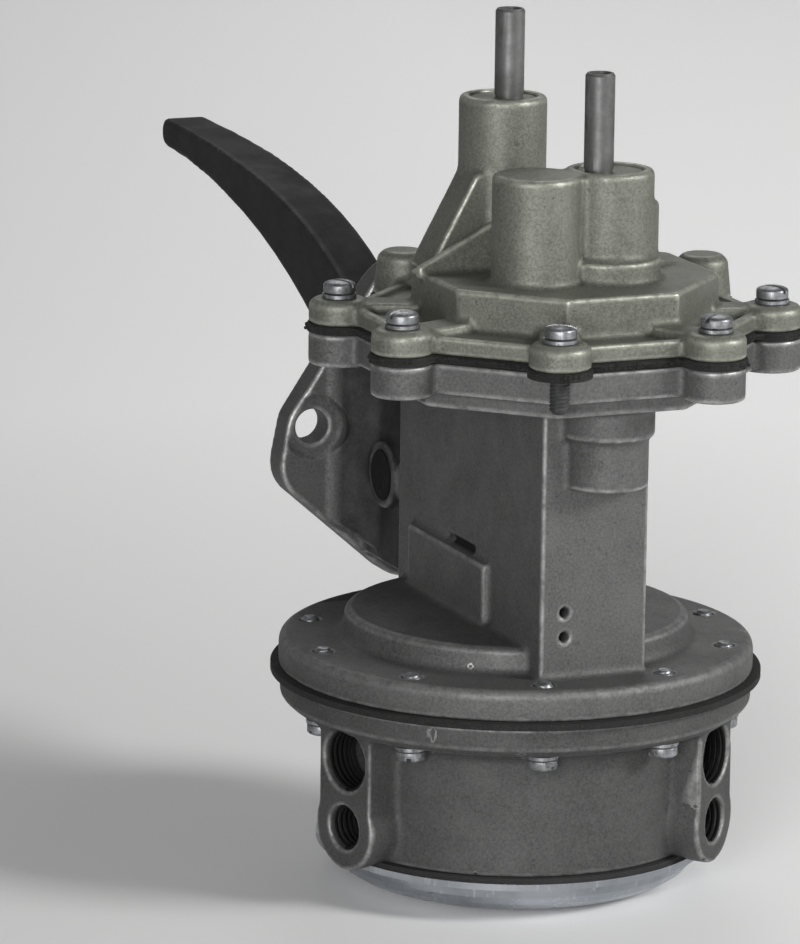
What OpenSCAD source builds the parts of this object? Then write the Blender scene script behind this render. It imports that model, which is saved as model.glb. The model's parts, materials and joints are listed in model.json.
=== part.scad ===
// Double-action mechanical fuel pump: fuel section below, vacuum booster section above,
// one rocker arm between them. Millimetres, +Z up, +Y toward the engine.
// The origin is the centre of the foot of the pulsator cap, on the fuel diaphragm axis.

/* [Fuel section] */
// Radius of the two clamping flanges of the fuel diaphragm
fuel_flange_r = 58; // [57:0.5:61]
// How far the fuel diaphragm's edge stands out of its flanges
fuel_edge_out = 2; // [0.5:0.1:2.5]
// Height of the valve housing without its cap
valve_housing_h = 39.8; // [39:0.2:44]
// Thickness of the valve housing's flange
valve_flange_t = 7.6; // [6.6:0.1:8]
// Outer radius of the valve housing's wall
valve_wall_r = 46.5; // [45.5:0.5:48]
// Wall thickness of the valve housing
valve_wall = 6.5; // [5.5:0.5:7]
// Thickness of the fuel diaphragm
fuel_diaphragm_t = 1.6; // [1.2:0.1:2]
// Depth that the slack fuel diaphragm hangs below its clamped edge
fuel_dip = 6; // [5.6:0.1:6.4]
// Radius of the fuel diaphragm plates
fuel_plate_r = 26; // [24:0.5:27]

/* [Pulsator cap] */
// Radius of the cap's rim
cap_r = 48.4; // [47.5:0.1:49.5]
// Height of the cap's rim above its foot
cap_h = 10.5; // [9.5:0.5:12]
// Radius of the cap's flat foot
foot_r = 29.5; // [28:0.5:34]
// Sheet thickness of the cap
cap_sheet = 1.4; // [1.1:0.1:1.7]
// Thickness of the pulsator diaphragm
pulsator_t = 1.2; // [1:0.1:1.6]

/* [Ports] */
// Radius from the axis to the flat faces of the port pads
port_pad_r = 54; // [53:0.5:56]
// Half width of a port pad
port_pad_half = 9.5; // [9:0.5:10.5]
// Radius of the upper, larger port
port_big_r = 7.5; // [6.5:0.25:7.75]
// Radius of the lower, smaller port
port_small_r = 5.4; // [4.5:0.1:6]
// Height of the lower port above the foot
port_low_z = 20.2; // [20:0.1:21]
// Distance between the two ports of a pad
port_gap = 16.7; // [15.5:0.1:17.4]
// Direction of the inlet pad about the axis, in degrees
inlet_angle = 197.5; // [190:0.5:205]
// Direction of the outlet pad about the axis, in degrees
outlet_angle = 311.5; // [305:0.5:320]

/* [Rocker housing] */
// Thickness of the flange above the fuel diaphragm
rocker_flange_t = 7.5; // [6.5:0.1:8.2]
// Radius of the raised hub on that flange
hub_r = 42.5; // [41.8:0.1:43.5]
// Height of the hub above its flange
hub_h = 6.4; // [6:0.1:7.5]
// Width of the column between the two sections
column_w = 27.6; // [27:0.1:30]
// Distance of the column's front face from the fuel axis
column_front = 46; // [44:0.1:46.2]
// Distance of the column's rear end from the fuel axis
column_rear = 43; // [42:0.5:45]
// Height of the rocker housing, from the fuel diaphragm to the vacuum diaphragm
rocker_housing_h = 85.9; // [85:0.1:88.5]
// Wall thickness of the column
column_wall = 4.2; // [3.8:0.1:4.4]

/* [Engine flange] */
// Distance from the fuel axis to the engine face
engine_face_y = 79; // [78:0.5:84]
// Thickness of the engine flange
engine_flange_t = 9; // [8:0.5:10]
// Distance between the two bolt holes
bolt_spacing = 52; // [50:0.5:54]
// Radius of the bolt holes
bolt_hole_r = 4.35; // [4:0.05:4.5]
// Height of the bolt holes above the fuel diaphragm
bolt_h = 46.2; // [45.2:0.1:47.5]

/* [Rocker arm] */
// Distance of the pivot from the fuel axis
pivot_y = 52; // [51:0.5:54]
// Height of the pivot above the fuel diaphragm
pivot_h = 36.9; // [36.4:0.1:37.4]
// Radius of the pivot pin
pin_r = 4.75; // [4.4:0.05:5]
// Wall of the bushing on the pivot pin
bushing_wall = 1.75; // [1.4:0.05:2]
// Width of the arm outside the housing
arm_w = 13.4; // [12:0.1:15]
// Width of the arm at its tip
arm_tip_w = 11; // [8:0.2:12]
// Distance of the arm's tip from the fuel axis
arm_reach = 237; // [215:1:245]

/* [Vacuum section] */
// Offset of the vacuum axis from the fuel axis, away from the engine
vacuum_offset = 20.3; // [19.6:0.1:21]
// Radius of the ring of cover screws
cover_screw_ring = 51.6; // [51.2:0.1:53]
// Radius of the lobe round each cover screw
lobe_r = 7.3; // [6.8:0.1:7.8]
// Distance from the vacuum axis to the flat edges of the cover plate
plate_apothem = 46; // [44:0.5:47]
// Thickness of the vacuum diaphragm
vacuum_diaphragm_t = 2; // [1.6:0.1:2.4]
// Depth that the slack vacuum diaphragm hangs below its clamped edge
vacuum_dip = 7; // [6.8:0.1:7.2]
// Radius of the vacuum diaphragm plates
vacuum_plate_r = 24; // [22:0.5:25]
// Thickness of the cover plate
cover_plate_t = 3; // [2.5:0.1:3.6]
// Distance from the vacuum axis to the flats of the cover's raised body
dome_apothem = 34; // [33.6:0.1:35]
// Height of the raised body's top above the cover plate
dome_h = 10; // [9.4:0.1:11.5]
// Height of the tall boss above the raised body
tall_boss_h = 39.8; // [34:0.2:42]
// Height of the short boss above the raised body
short_boss_h = 26.3; // [23:0.1:28]
// Outer radius of the vacuum tubes
tube_r = 3.55; // [3.2:0.05:3.9]
// Length of the tube above the tall boss
tall_tube_l = 20.7; // [16:0.1:30]
// Length of the tube above the short boss
short_tube_l = 22.8; // [16:0.1:30]

/* [Fasteners] */
// Shank radius of every flange screw
screw_r = 2.4; // [2.1:0.05:2.6]
// Head radius of every flange screw
screw_head_r = 4.3; // [4:0.1:4.6]
// Head height of every flange screw
screw_head_h = 3; // [2.4:0.1:3.4]
// Thickness of the lock washers
lock_washer_t = 1.2; // [0.9:0.1:1.4]

/* [Fits] */
// Radial clearance of a running fit
run_fit = 0.05; // [0.02:0.01:0.08]
// Gap between parts that pass each other
pass_gap = 0.3; // [0.25:0.05:0.4]

/* [Hidden] */
$fn = 64;

// Levels of the stack, from the foot upwards
housing_bottom_z = cap_h + pulsator_t;
fuel_joint_z = housing_bottom_z + valve_housing_h;
rocker_bottom_z = fuel_joint_z + fuel_diaphragm_t;
rocker_flange_z = rocker_bottom_z + rocker_flange_t;
vacuum_joint_z = rocker_bottom_z + rocker_housing_h;
bolt_z = rocker_bottom_z + bolt_h;
pivot_z = rocker_bottom_z + pivot_h;
hub_z = rocker_flange_z + hub_h;
cover_bottom_z = vacuum_joint_z + vacuum_diaphragm_t;
plate_z = cover_bottom_z + cover_plate_t;
dome_z = plate_z + dome_h;

// Valve housing
bowl_floor_z = fuel_joint_z - fuel_dip - 3.9;
bulkhead_t = 5.5;
bulkhead_z = bowl_floor_z - bulkhead_t;
chamber_r = valve_wall_r - valve_wall;
bowl_top_r = 42;
bowl_floor_r = 29;
cap_boss_r = 7;
partition_t = 3;
cap_screw_r = 3;
port_high_z = port_low_z + port_gap;
port_boss_r = port_pad_half + 1;

// Valves, shared by the fuel and the vacuum section
valve_seat_r = 7.8;
valve_seat_t = 2.5;
valve_stem_r = 1.2;
valve_stem_h = 6.5;
valve_head_r = 2.6;
valve_head_t = 1;
valve_disc_r = 6.2;
valve_disc_t = 1;
valve_hole_r = 1.2;
valve_hole_ring = 4.1;
valve_rest_gap = 0.05;
valve_boss_r = valve_seat_r + 2.7;
fuel_valve_x = 17;
valve_boss_bottom_z = bowl_floor_z - valve_seat_t - valve_stem_h - 0.5;

// Fuel diaphragm assembly
plate_t = 1.5;
rod_r = 4;
rivet_r = 6;
rivet_t = 1.5;
fuel_clamp_r = 41.8;
fuel_centre_z = fuel_joint_z - fuel_dip;
fuel_plate_top_z = fuel_centre_z + fuel_diaphragm_t + plate_t;
spring_cavity_r = 38;
spring_ceiling_z = rocker_bottom_z + 9;

// Column and mechanism
cavity_floor_z = hub_z + 1;
cavity_half_w = column_w / 2 - column_wall;
cavity_top_z = vacuum_joint_z - 15;
seal_r = 7.8;
seal_t = 2.5;
retainer_t = 1.4;
seal_pocket_h = seal_t + retainer_t + 0.1;
neck_half_w = column_w / 2 - 1.8;
neck_flare = 9.4;
slot_bottom_z = bolt_z - 17.3;
slot_top_z = bolt_z + 31.7;
pin_boss_r = pin_r + 3.75;
pin_boss_x = column_w / 2 + 1.2;
plug_r = pin_r + 1.5;
plug_t = 1.5;

// Links and rods
hub_half_w = 3.6;
link_t = 3;
finger_half_w = 2.2;
finger_r = 3.6;
bar_half_h = 2.4;
fuel_link_z = pivot_z - 2;
vacuum_link_z = cavity_top_z - 20;
head_half_x = 5.5;
head_half_y = 4.5;
bushing_r = pin_r + run_fit + bushing_wall;
arm_hub_r = bushing_r + 4.5;
link_hub_r = bushing_r + 3.6;
link_joggle_y = pivot_y - 16;
arm_spring_y = pivot_y + 11.4;
arm_spring_seat_z = pivot_z - 8;

// Vacuum diaphragm assembly
vacuum_plate_t = 1.2;
vacuum_centre_z = vacuum_joint_z - vacuum_dip;
vacuum_plate_top_z = vacuum_centre_z + vacuum_diaphragm_t + vacuum_plate_t;
recess_floor_z = vacuum_centre_z - vacuum_plate_t - 0.5;
recess_top_r = 41;
vacuum_clamp_r = recess_top_r - 0.2;
recess_floor_r = 27;
dome_wall = 3;
dome_ceiling_z = dome_z - dome_wall;
dome_cavity_r = 28.5;

// Upper flange of the rocker housing and the cover's lobes
upper_flange_t = 7.4;
upper_lobe_h = 8;
tier_apothem = plate_apothem - 6;
tier_z = recess_floor_z - 3.3;
lobe_h = cover_plate_t + 3;
rear_lobe_h = cover_plate_t + 8;
rim_w = 2.6;
rim_h = 1.3;
dome_shift = 2.4;
web_half = 4.6;
front_lobes = [157.5, 202.5, 247.5, 292.5, 337.5];
rear_lobes = [22.5, 67.5, 112.5];
// The body flange has lost the lobe of one front screw
body_lobes = [157.5, 202.5, 292.5, 337.5];

// Bosses on the cover
tall_boss = [-5.7, 0];
short_boss = [8.6, -31];
blind_boss = [-10.1, -31];
tall_boss_r = 10.6;
short_boss_r = 10.7;
blind_boss_r = 10.6;
blind_boss_h = short_boss_h - 0.5;
// Offsets of the tubes from the middles of their bosses
tall_tube_shift = 1.5;
short_tube_shift = -2.9;
boss_bore_r = valve_seat_r + 0.2;
plug_depth = 4;
plug_recess = 0.8;
port_hole_r = 3.2;
short_port_shift = [2.2, -3];
tube_wall = 0.9;
tube_step = 0.25;

// Screws in the lower flanges
housing_screw_count = 10;
housing_screw_phase = 2;
housing_screw_ring = fuel_flange_r - 6.5;
hole_gap = 0.05;
clear_gap = 0.3;

casting = "dimgray";
cover_casting = "gray";
zinc = "silver";
steel = "#3c3c3e";
brass = "#b08d4a";
cloth = "#1c1b1a";
rubber = "#222222";

function octagon_points(apothem) =
    [for (k = [0:7]) apothem / cos(22.5) * [cos(22.5 + 45 * k), sin(22.5 + 45 * k)]];

function cubic(a, b, c, d, t) =
    pow(1 - t, 3) * a + 3 * t * pow(1 - t, 2) * b + 3 * t * t * (1 - t) * c + t * t * t * d;

module octagon(apothem, h) {
    linear_extrude(h) polygon(octagon_points(apothem));
}

module on_vacuum_axis(z = 0) {
    translate([0, -vacuum_offset, z]) children();
}

module at_ring(radius, angles) {
    for (a = angles)
        translate([radius * cos(a), radius * sin(a), 0]) children();
}

module along_x(half) {
    rotate([0, 90, 0]) translate([0, 0, -half]) children();
}

module radial(angle, z) {
    rotate([0, 0, angle]) translate([0, 0, z]) rotate([0, 90, 0]) children();
}

// A round-wire compression spring with flat-lying end coils
module coil_spring(coil_r, wire_r, h, turns, z0) {
    sides = 6;
    per_turn = 14;
    rings = floor(turns * per_turn);
    rise = h - 2 * wire_r;
    function lift(u) = u < 0.12 ? 0 : u > 0.88 ? 1 : (u - 0.12) / 0.76;
    pts = [for (i = [0:rings], j = [0:sides - 1])
        let (a = 360 * turns * i / rings, b = 360 * j / sides, r = coil_r + wire_r * cos(b))
        [r * cos(a), r * sin(a), z0 + wire_r + rise * lift(i / rings) + wire_r * sin(b)]];
    walls = [for (i = [0:rings - 1], j = [0:sides - 1])
        let (k = (j + 1) % sides)
        [i * sides + j, (i + 1) * sides + j, (i + 1) * sides + k, i * sides + k]];
    ends = [[for (j = [0:sides - 1]) j], [for (j = [sides - 1:-1:0]) rings * sides + j]];
    polyhedron(pts, concat(walls, ends), convexity = 6);
}

// A diaphragm: a clamped rim, a free roll and a centre that hangs below the rim
module diaphragm_profile(edge_r, thick, dip, flat_r, hole_r, clamp_r) {
    roll = (clamp_r - flat_r) / 2;
    polygon(concat(
        [[hole_r, thick - dip], [hole_r, -dip], [flat_r, -dip]],
        [for (t = [15:15:165])
            [flat_r + 2 * roll * t / 180, -dip + dip * (1 - cos(t)) / 2]],
        [[clamp_r, 0], [edge_r, 0], [edge_r, thick], [clamp_r, thick]],
        [for (t = [165:-15:15])
            [flat_r + 2 * roll * t / 180, thick - dip + dip * (1 - cos(t)) / 2]],
        [[flat_r, thick - dip]]));
}

// Flow up through the seat lifts the disc along the stem
module valve_seat() {
    difference() {
        cylinder(r = valve_seat_r, h = valve_seat_t);
        at_ring(valve_hole_ring, [0:60:300])
            translate([0, 0, -1]) cylinder(r = valve_hole_r, h = valve_seat_t + 2, $fn = 24);
    }
    cylinder(r = valve_stem_r, h = valve_seat_t + valve_stem_h, $fn = 24);
    translate([0, 0, valve_seat_t + valve_stem_h - valve_head_t])
        cylinder(r = valve_head_r, h = valve_head_t, $fn = 32);
}

module valve_disc() {
    translate([0, 0, valve_seat_t + valve_rest_gap])
        difference() {
            cylinder(r = valve_disc_r, h = valve_disc_t);
            translate([0, 0, -1])
                cylinder(r = valve_stem_r + run_fit, h = valve_disc_t + 2, $fn = 24);
        }
}

module valve_spring() {
    z0 = valve_seat_t + valve_rest_gap + valve_disc_t;
    z1 = valve_seat_t + valve_stem_h - valve_head_t;
    coil_spring(1.95, 0.3, z1 - z0, 4, z0);
}

module place_fuel_inlet_valve() {
    translate([-fuel_valve_x, 0, valve_boss_bottom_z]) children();
}

module place_fuel_outlet_valve() {
    translate([fuel_valve_x, 0, bowl_floor_z]) mirror([0, 0, 1]) children();
}

module place_vacuum_inlet_valve() {
    translate([short_boss.x, short_boss.y, dome_z + valve_seat_t + valve_stem_h + 0.5])
        mirror([0, 0, 1]) children();
}

module place_vacuum_outlet_valve() {
    translate([tall_boss.x, tall_boss.y, dome_z]) children();
}

module slotted_screw(shank_l, slot = 0) {
    translate([0, 0, -shank_l]) cylinder(r = screw_r, h = shank_l + 0.1, $fn = 32);
    difference() {
        union() {
            cylinder(r = screw_head_r, h = screw_head_h * 0.55);
            translate([0, 0, screw_head_h * 0.55 - 0.01])
                cylinder(r1 = screw_head_r, r2 = screw_head_r * 0.62,
                         h = screw_head_h * 0.45, $fn = 64);
        }
        rotate([0, 0, slot])
            translate([-screw_head_r - 1, -0.6, screw_head_h * 0.45])
                cube([2 * screw_head_r + 2, 1.2, screw_head_h]);
    }
}

module lock_washer() {
    difference() {
        cylinder(r = screw_head_r + 0.3, h = lock_washer_t);
        translate([0, 0, -1]) cylinder(r = screw_r + hole_gap, h = lock_washer_t + 2, $fn = 32);
        translate([screw_r - 0.4, -0.4, -1]) cube([screw_head_r, 0.8, lock_washer_t + 2]);
    }
}

module housing_screw_places() {
    step = 360 / housing_screw_count;
    at_ring(housing_screw_ring, [for (k = [0:housing_screw_count - 1])
        housing_screw_phase + step * k]) children();
}

// Pressed dish that closes the bottom of the valve housing and is the pump's foot
module pulsator_cap() {
    color(zinc) difference() {
        rotate_extrude($fn = 128) polygon(concat(
            [[cap_screw_r + hole_gap, 4], [9, 4], [12, 0], [foot_r, 0]],
            [for (t = [15:15:75]) [foot_r + (cap_r - 3 - foot_r) * sin(t),
                                  (cap_h - 2.4) * (1 - cos(t))]],
            [[cap_r - 3, cap_h - 2.4], [cap_r, cap_h - 1.6], [cap_r, cap_h],
             [cap_r - 4.6, cap_h]],
            [for (t = [75:-15:15]) [foot_r + (cap_r - 4.6 - foot_r) * sin(t),
                                   cap_sheet + (cap_h - cap_sheet) * (1 - cos(t))]],
            [[foot_r, cap_sheet], [12.6, cap_sheet], [9.6, 4 + cap_sheet],
             [cap_screw_r + hole_gap, 4 + cap_sheet]]));
    }
}

module cap_screw() {
    color(zinc) {
        cylinder(r = 5.5, h = 4, $fn = 6);
        translate([0, 0, 3.9]) cylinder(r = cap_screw_r, h = 16, $fn = 32);
    }
}

module pulsator_diaphragm() {
    color(rubber) translate([0, 0, cap_h]) difference() {
        cylinder(r = cap_r - 0.6, h = pulsator_t, $fn = 128);
        translate([0, 0, -1]) cylinder(r = cap_screw_r + clear_gap, h = pulsator_t + 2);
    }
}

module port_pad(angle) {
    rotate([0, 0, angle]) translate([chamber_r - 1, -port_pad_half, port_low_z])
        cube([port_pad_r - chamber_r + 1, 2 * port_pad_half,
              fuel_joint_z - valve_flange_t - port_low_z + 1]);
    radial(angle, port_low_z) translate([0, 0, chamber_r - 1])
        cylinder(r = port_boss_r, h = port_pad_r - chamber_r + 1);
}

module port_bores(angle) {
    depth = port_pad_r - chamber_r + 4;
    for (p = [[port_low_z, port_small_r], [port_high_z, port_big_r]])
        radial(angle, p[0]) translate([0, 0, port_pad_r - depth]) {
            cylinder(r = p[1], h = depth + 0.01);
            // Drill point
            translate([0, 0, -p[1] / 2]) cylinder(r1 = 0, r2 = p[1], h = p[1] / 2 + 0.001);
        }
    radial(angle, port_high_z) translate([0, 0, port_pad_r])
        cylinder(r = port_big_r + 0.6, h = fuel_flange_r - port_pad_r + 1);
}

module valve_housing() {
    flange_z = fuel_joint_z - valve_flange_t;
    color(casting) difference() {
        union() {
            translate([0, 0, housing_bottom_z])
                cylinder(r = valve_wall_r, h = valve_housing_h, $fn = 128);
            rotate_extrude($fn = 128) polygon([
                [valve_wall_r - 1, flange_z - 3], [valve_wall_r + 0.5, flange_z - 3],
                [valve_wall_r + 4, flange_z], [fuel_flange_r - 2.6, flange_z],
                [fuel_flange_r - 0.4, flange_z + 2], [fuel_flange_r - 0.4, fuel_joint_z],
                [valve_wall_r - 1, fuel_joint_z]]);
            port_pad(inlet_angle);
            port_pad(outlet_angle);
        }
        // Pump chamber above the bulkhead
        translate([0, 0, bowl_floor_z]) cylinder(r1 = bowl_floor_r, r2 = bowl_top_r,
            h = fuel_joint_z - bowl_floor_z + 0.01, $fn = 128);
        // Inlet and outlet chambers below it
        difference() {
            translate([0, 0, housing_bottom_z - 1])
                cylinder(r = chamber_r, h = bulkhead_z - housing_bottom_z + 1, $fn = 128);
            cylinder(r = cap_boss_r, h = bulkhead_z + 1);
            translate([-partition_t / 2, -chamber_r - 1, 0])
                cube([partition_t, 2 * chamber_r + 2, bulkhead_z + 1]);
            for (x = [-fuel_valve_x, fuel_valve_x])
                translate([x, 0, valve_boss_bottom_z])
                    cylinder(r = valve_boss_r, h = bulkhead_z - valve_boss_bottom_z + 1);
        }
        for (x = [-fuel_valve_x, fuel_valve_x])
            translate([x, 0, valve_boss_bottom_z - 1])
                cylinder(r = valve_seat_r, h = bowl_floor_z - valve_boss_bottom_z + 2);
        translate([0, 0, housing_bottom_z - 1]) cylinder(r = cap_screw_r + hole_gap, h = 12);
        port_bores(inlet_angle);
        port_bores(outlet_angle);
        translate([0, 0, -1]) cylinder(r = cap_r + pass_gap, h = housing_bottom_z + 1, $fn = 128);
        housing_screw_places() translate([0, 0, flange_z - 1])
            cylinder(r = screw_r + clear_gap, h = valve_flange_t + 2, $fn = 32);
        housing_screw_places() translate([0, 0, flange_z - 6])
            cylinder(r = screw_head_r + 0.9, h = 6);
    }
}

module fuel_inlet_valve_seat() { color(brass) place_fuel_inlet_valve() valve_seat(); }
module fuel_inlet_valve_disc() { color(rubber) place_fuel_inlet_valve() valve_disc(); }
module fuel_inlet_valve_spring() { color(zinc) place_fuel_inlet_valve() valve_spring(); }
module fuel_outlet_valve_seat() { color(brass) place_fuel_outlet_valve() valve_seat(); }
module fuel_outlet_valve_disc() { color(rubber) place_fuel_outlet_valve() valve_disc(); }
module fuel_outlet_valve_spring() { color(zinc) place_fuel_outlet_valve() valve_spring(); }

module fuel_diaphragm() {
    color(cloth) translate([0, 0, fuel_joint_z]) difference() {
        rotate_extrude($fn = 128)
            diaphragm_profile(fuel_flange_r + fuel_edge_out, fuel_diaphragm_t, fuel_dip,
                              fuel_plate_r + 1, rod_r + hole_gap, fuel_clamp_r);
        housing_screw_places() translate([0, 0, -1])
            cylinder(r = screw_r + clear_gap, h = fuel_diaphragm_t + 2, $fn = 32);
    }
}

module rod_plate(radius, thick) {
    difference() {
        union() {
            cylinder(r = radius - 1.5, h = thick, $fn = 96);
            translate([0, 0, thick / 2]) rotate_extrude($fn = 96)
                translate([radius - 1.5, 0]) circle(r = thick / 2, $fn = 24);
        }
        translate([0, 0, -1]) cylinder(r = rod_r + hole_gap, h = thick + 2);
    }
}

module fuel_lower_plate() {
    color(zinc) translate([0, 0, fuel_centre_z - plate_t]) rod_plate(fuel_plate_r, plate_t);
}

module fuel_upper_plate() {
    color(zinc) translate([0, 0, fuel_centre_z + fuel_diaphragm_t])
        rod_plate(fuel_plate_r, plate_t);
}

// A rod's square head with a window that takes the finger of its link
module rod_head(y, link_z, stem_below) {
    top = link_z + finger_r + pass_gap;
    low = link_z - finger_r - 0.9;
    head_low = stem_below ? low - 5 : low - 4;
    head_high = stem_below ? top + 4 : top + 5;
    difference() {
        translate([-head_half_x, y - head_half_y, head_low])
            cube([2 * head_half_x, 2 * head_half_y, head_high - head_low]);
        translate([-finger_half_w - 0.5, y - head_half_y - 1, low])
            cube([2 * finger_half_w + 1, 2 * head_half_y + 2, top - low]);
    }
}

module fuel_pull_rod() {
    bottom = fuel_centre_z - plate_t - rivet_t;
    color(steel) {
        translate([0, 0, bottom]) cylinder(r = rivet_r, h = rivet_t);
        translate([0, 0, bottom]) cylinder(r = rod_r, h = fuel_link_z - finger_r - 5 - bottom);
        rod_head(0, fuel_link_z, true);
    }
}

module fuel_spring() {
    color(zinc) coil_spring(13, 1, spring_ceiling_z - fuel_plate_top_z, 4, fuel_plate_top_z);
}

module oil_seal() {
    difference() {
        cylinder(r = seal_r, h = seal_t);
        translate([0, 0, -1]) cylinder(r = rod_r + pass_gap, h = seal_t + 2);
    }
}

module seal_retainer() {
    difference() {
        cylinder(r = seal_r, h = retainer_t);
        translate([0, 0, -1]) cylinder(r = rod_r + 1, h = retainer_t + 2);
    }
}

module fuel_oil_seal() {
    color(rubber) translate([0, 0, cavity_floor_z]) oil_seal();
}

module fuel_seal_retainer() {
    color(zinc) translate([0, 0, cavity_floor_z + seal_t]) seal_retainer();
}

module housing_screws() {
    head_z = fuel_joint_z - valve_flange_t - lock_washer_t;
    color(zinc) housing_screw_places() translate([0, 0, head_z]) mirror([0, 0, 1])
        slotted_screw(rocker_flange_z + 0.8 - head_z, 35);
}

module housing_lock_washers() {
    color(zinc) housing_screw_places()
        translate([0, 0, fuel_joint_z - valve_flange_t - lock_washer_t]) lock_washer();
}

// Outline of the engine flange in X and Z
module engine_flange_outline() {
    hull() {
        for (s = [-1, 1]) {
            translate([s * bolt_spacing / 2, bolt_z]) circle(r = 6.6, $fn = 32);
            translate([s * (bolt_spacing / 2 - 1.5), bolt_z - 9.8]) circle(r = 10, $fn = 32);
        }
        translate([0, slot_top_z - 2.5]) circle(r = 12, $fn = 32);
        translate([0, slot_bottom_z - 12.5]) circle(r = 11, $fn = 32);
    }
}

// Extrude an outline given in X and Z from y0 to y1
module upright(y0, y1) {
    translate([0, y1, 0]) rotate([90, 0, 0]) linear_extrude(y1 - y0) children();
}

module rocker_flanges() {
    rotate_extrude($fn = 128) polygon(concat(
        [[0, rocker_bottom_z], [fuel_flange_r, rocker_bottom_z],
         [fuel_flange_r, rocker_flange_z - 2.2]],
        [for (t = [22.5:22.5:90]) [fuel_flange_r - 2.2 + 2.2 * cos(t),
                                  rocker_flange_z - 2.2 + 2.2 * sin(t)]],
        [[hub_r + 1.4, rocker_flange_z], [hub_r + 0.4, rocker_flange_z + 0.5],
         [hub_r, rocker_flange_z + 1.5], [hub_r - 0.6, hub_z - 1], [hub_r - 1.8, hub_z],
         [0, hub_z]]));
    on_vacuum_axis(vacuum_joint_z - upper_flange_t) octagon(plate_apothem, upper_flange_t);
    on_vacuum_axis(tier_z)
        octagon(tier_apothem, vacuum_joint_z - upper_flange_t - tier_z + 0.1);
    on_vacuum_axis(vacuum_joint_z - upper_lobe_h)
        at_ring(cover_screw_ring, concat(body_lobes, rear_lobes))
            cylinder(r = lobe_r, h = upper_lobe_h, $fn = 32);
}

module rocker_column() {
    translate([-column_w / 2, -column_front, hub_z - hub_h])
        cube([column_w, column_front + column_rear, vacuum_joint_z - upper_flange_t
              - hub_z + hub_h + 0.1]);
    // Air passage boss below the upper flange
    translate([2.5, -column_front, vacuum_joint_z - 32]) cylinder(r = 9.9, h = 26);
    translate([2.5, -column_front, vacuum_joint_z - 19.5]) cylinder(r = 11.3, h = 13);
    // Thicker foot on the side
    translate([-column_w / 2 - 2, -15.5, hub_z - 1]) cube([4, 47.5, 16]);
    // Neck toward the engine flange
    translate([-neck_half_w, column_rear - 1, hub_z - 1])
        cube([2 * neck_half_w, engine_face_y - engine_flange_t - column_rear + 2,
              tier_z - hub_z + 1]);
    translate([0, pivot_y, pivot_z]) along_x(pin_boss_x)
        cylinder(r = pin_boss_r, h = 2 * pin_boss_x);
    upright(engine_face_y - engine_flange_t, engine_face_y) engine_flange_outline();
    hull() {
        translate([-neck_half_w, engine_face_y - engine_flange_t - 11, hub_z + 1])
            cube([2 * neck_half_w, 0.5, tier_z - hub_z - 4]);
        translate([-neck_half_w - neck_flare, engine_face_y - engine_flange_t - 0.4, hub_z + 8])
            cube([2 * (neck_half_w + neck_flare), 0.5, tier_z - hub_z - 16]);
    }
}

module rocker_cavities() {
    // Spring chamber above the fuel diaphragm
    translate([0, 0, rocker_bottom_z - 1])
        cylinder(r = spring_cavity_r, h = spring_ceiling_z - rocker_bottom_z + 1, $fn = 128);
    // Recess below the vacuum diaphragm
    on_vacuum_axis(recess_floor_z) cylinder(r1 = recess_floor_r, r2 = recess_top_r,
        h = vacuum_joint_z - recess_floor_z + 0.01, $fn = 128);
    // Space for the links, the rods and the arm, round the fuel rod's guide
    difference() {
        translate([-cavity_half_w, -column_front + column_wall + 2, cavity_floor_z])
            cube([2 * cavity_half_w,
                  engine_face_y - engine_flange_t + column_front - column_wall - 2,
                  cavity_top_z - cavity_floor_z]);
        cylinder(r = seal_r + 2.6, h = cavity_floor_z + seal_pocket_h);
    }
    translate([0, 0, cavity_floor_z]) cylinder(r = seal_r, h = seal_pocket_h + 1);
    upright(engine_face_y - engine_flange_t - 1, engine_face_y + 1)
        translate([-cavity_half_w, slot_bottom_z])
            square([2 * cavity_half_w, slot_top_z - slot_bottom_z]);
    // Guides and seal pocket of the two rods
    translate([0, 0, spring_ceiling_z - 1])
        cylinder(r = rod_r + run_fit, h = cavity_floor_z - spring_ceiling_z + 2);
    on_vacuum_axis(cavity_top_z - 1)
        cylinder(r = rod_r + run_fit, h = recess_floor_z - cavity_top_z + 2);
    on_vacuum_axis(recess_floor_z - seal_pocket_h) cylinder(r = seal_r, h = seal_pocket_h + 1);
}

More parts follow.
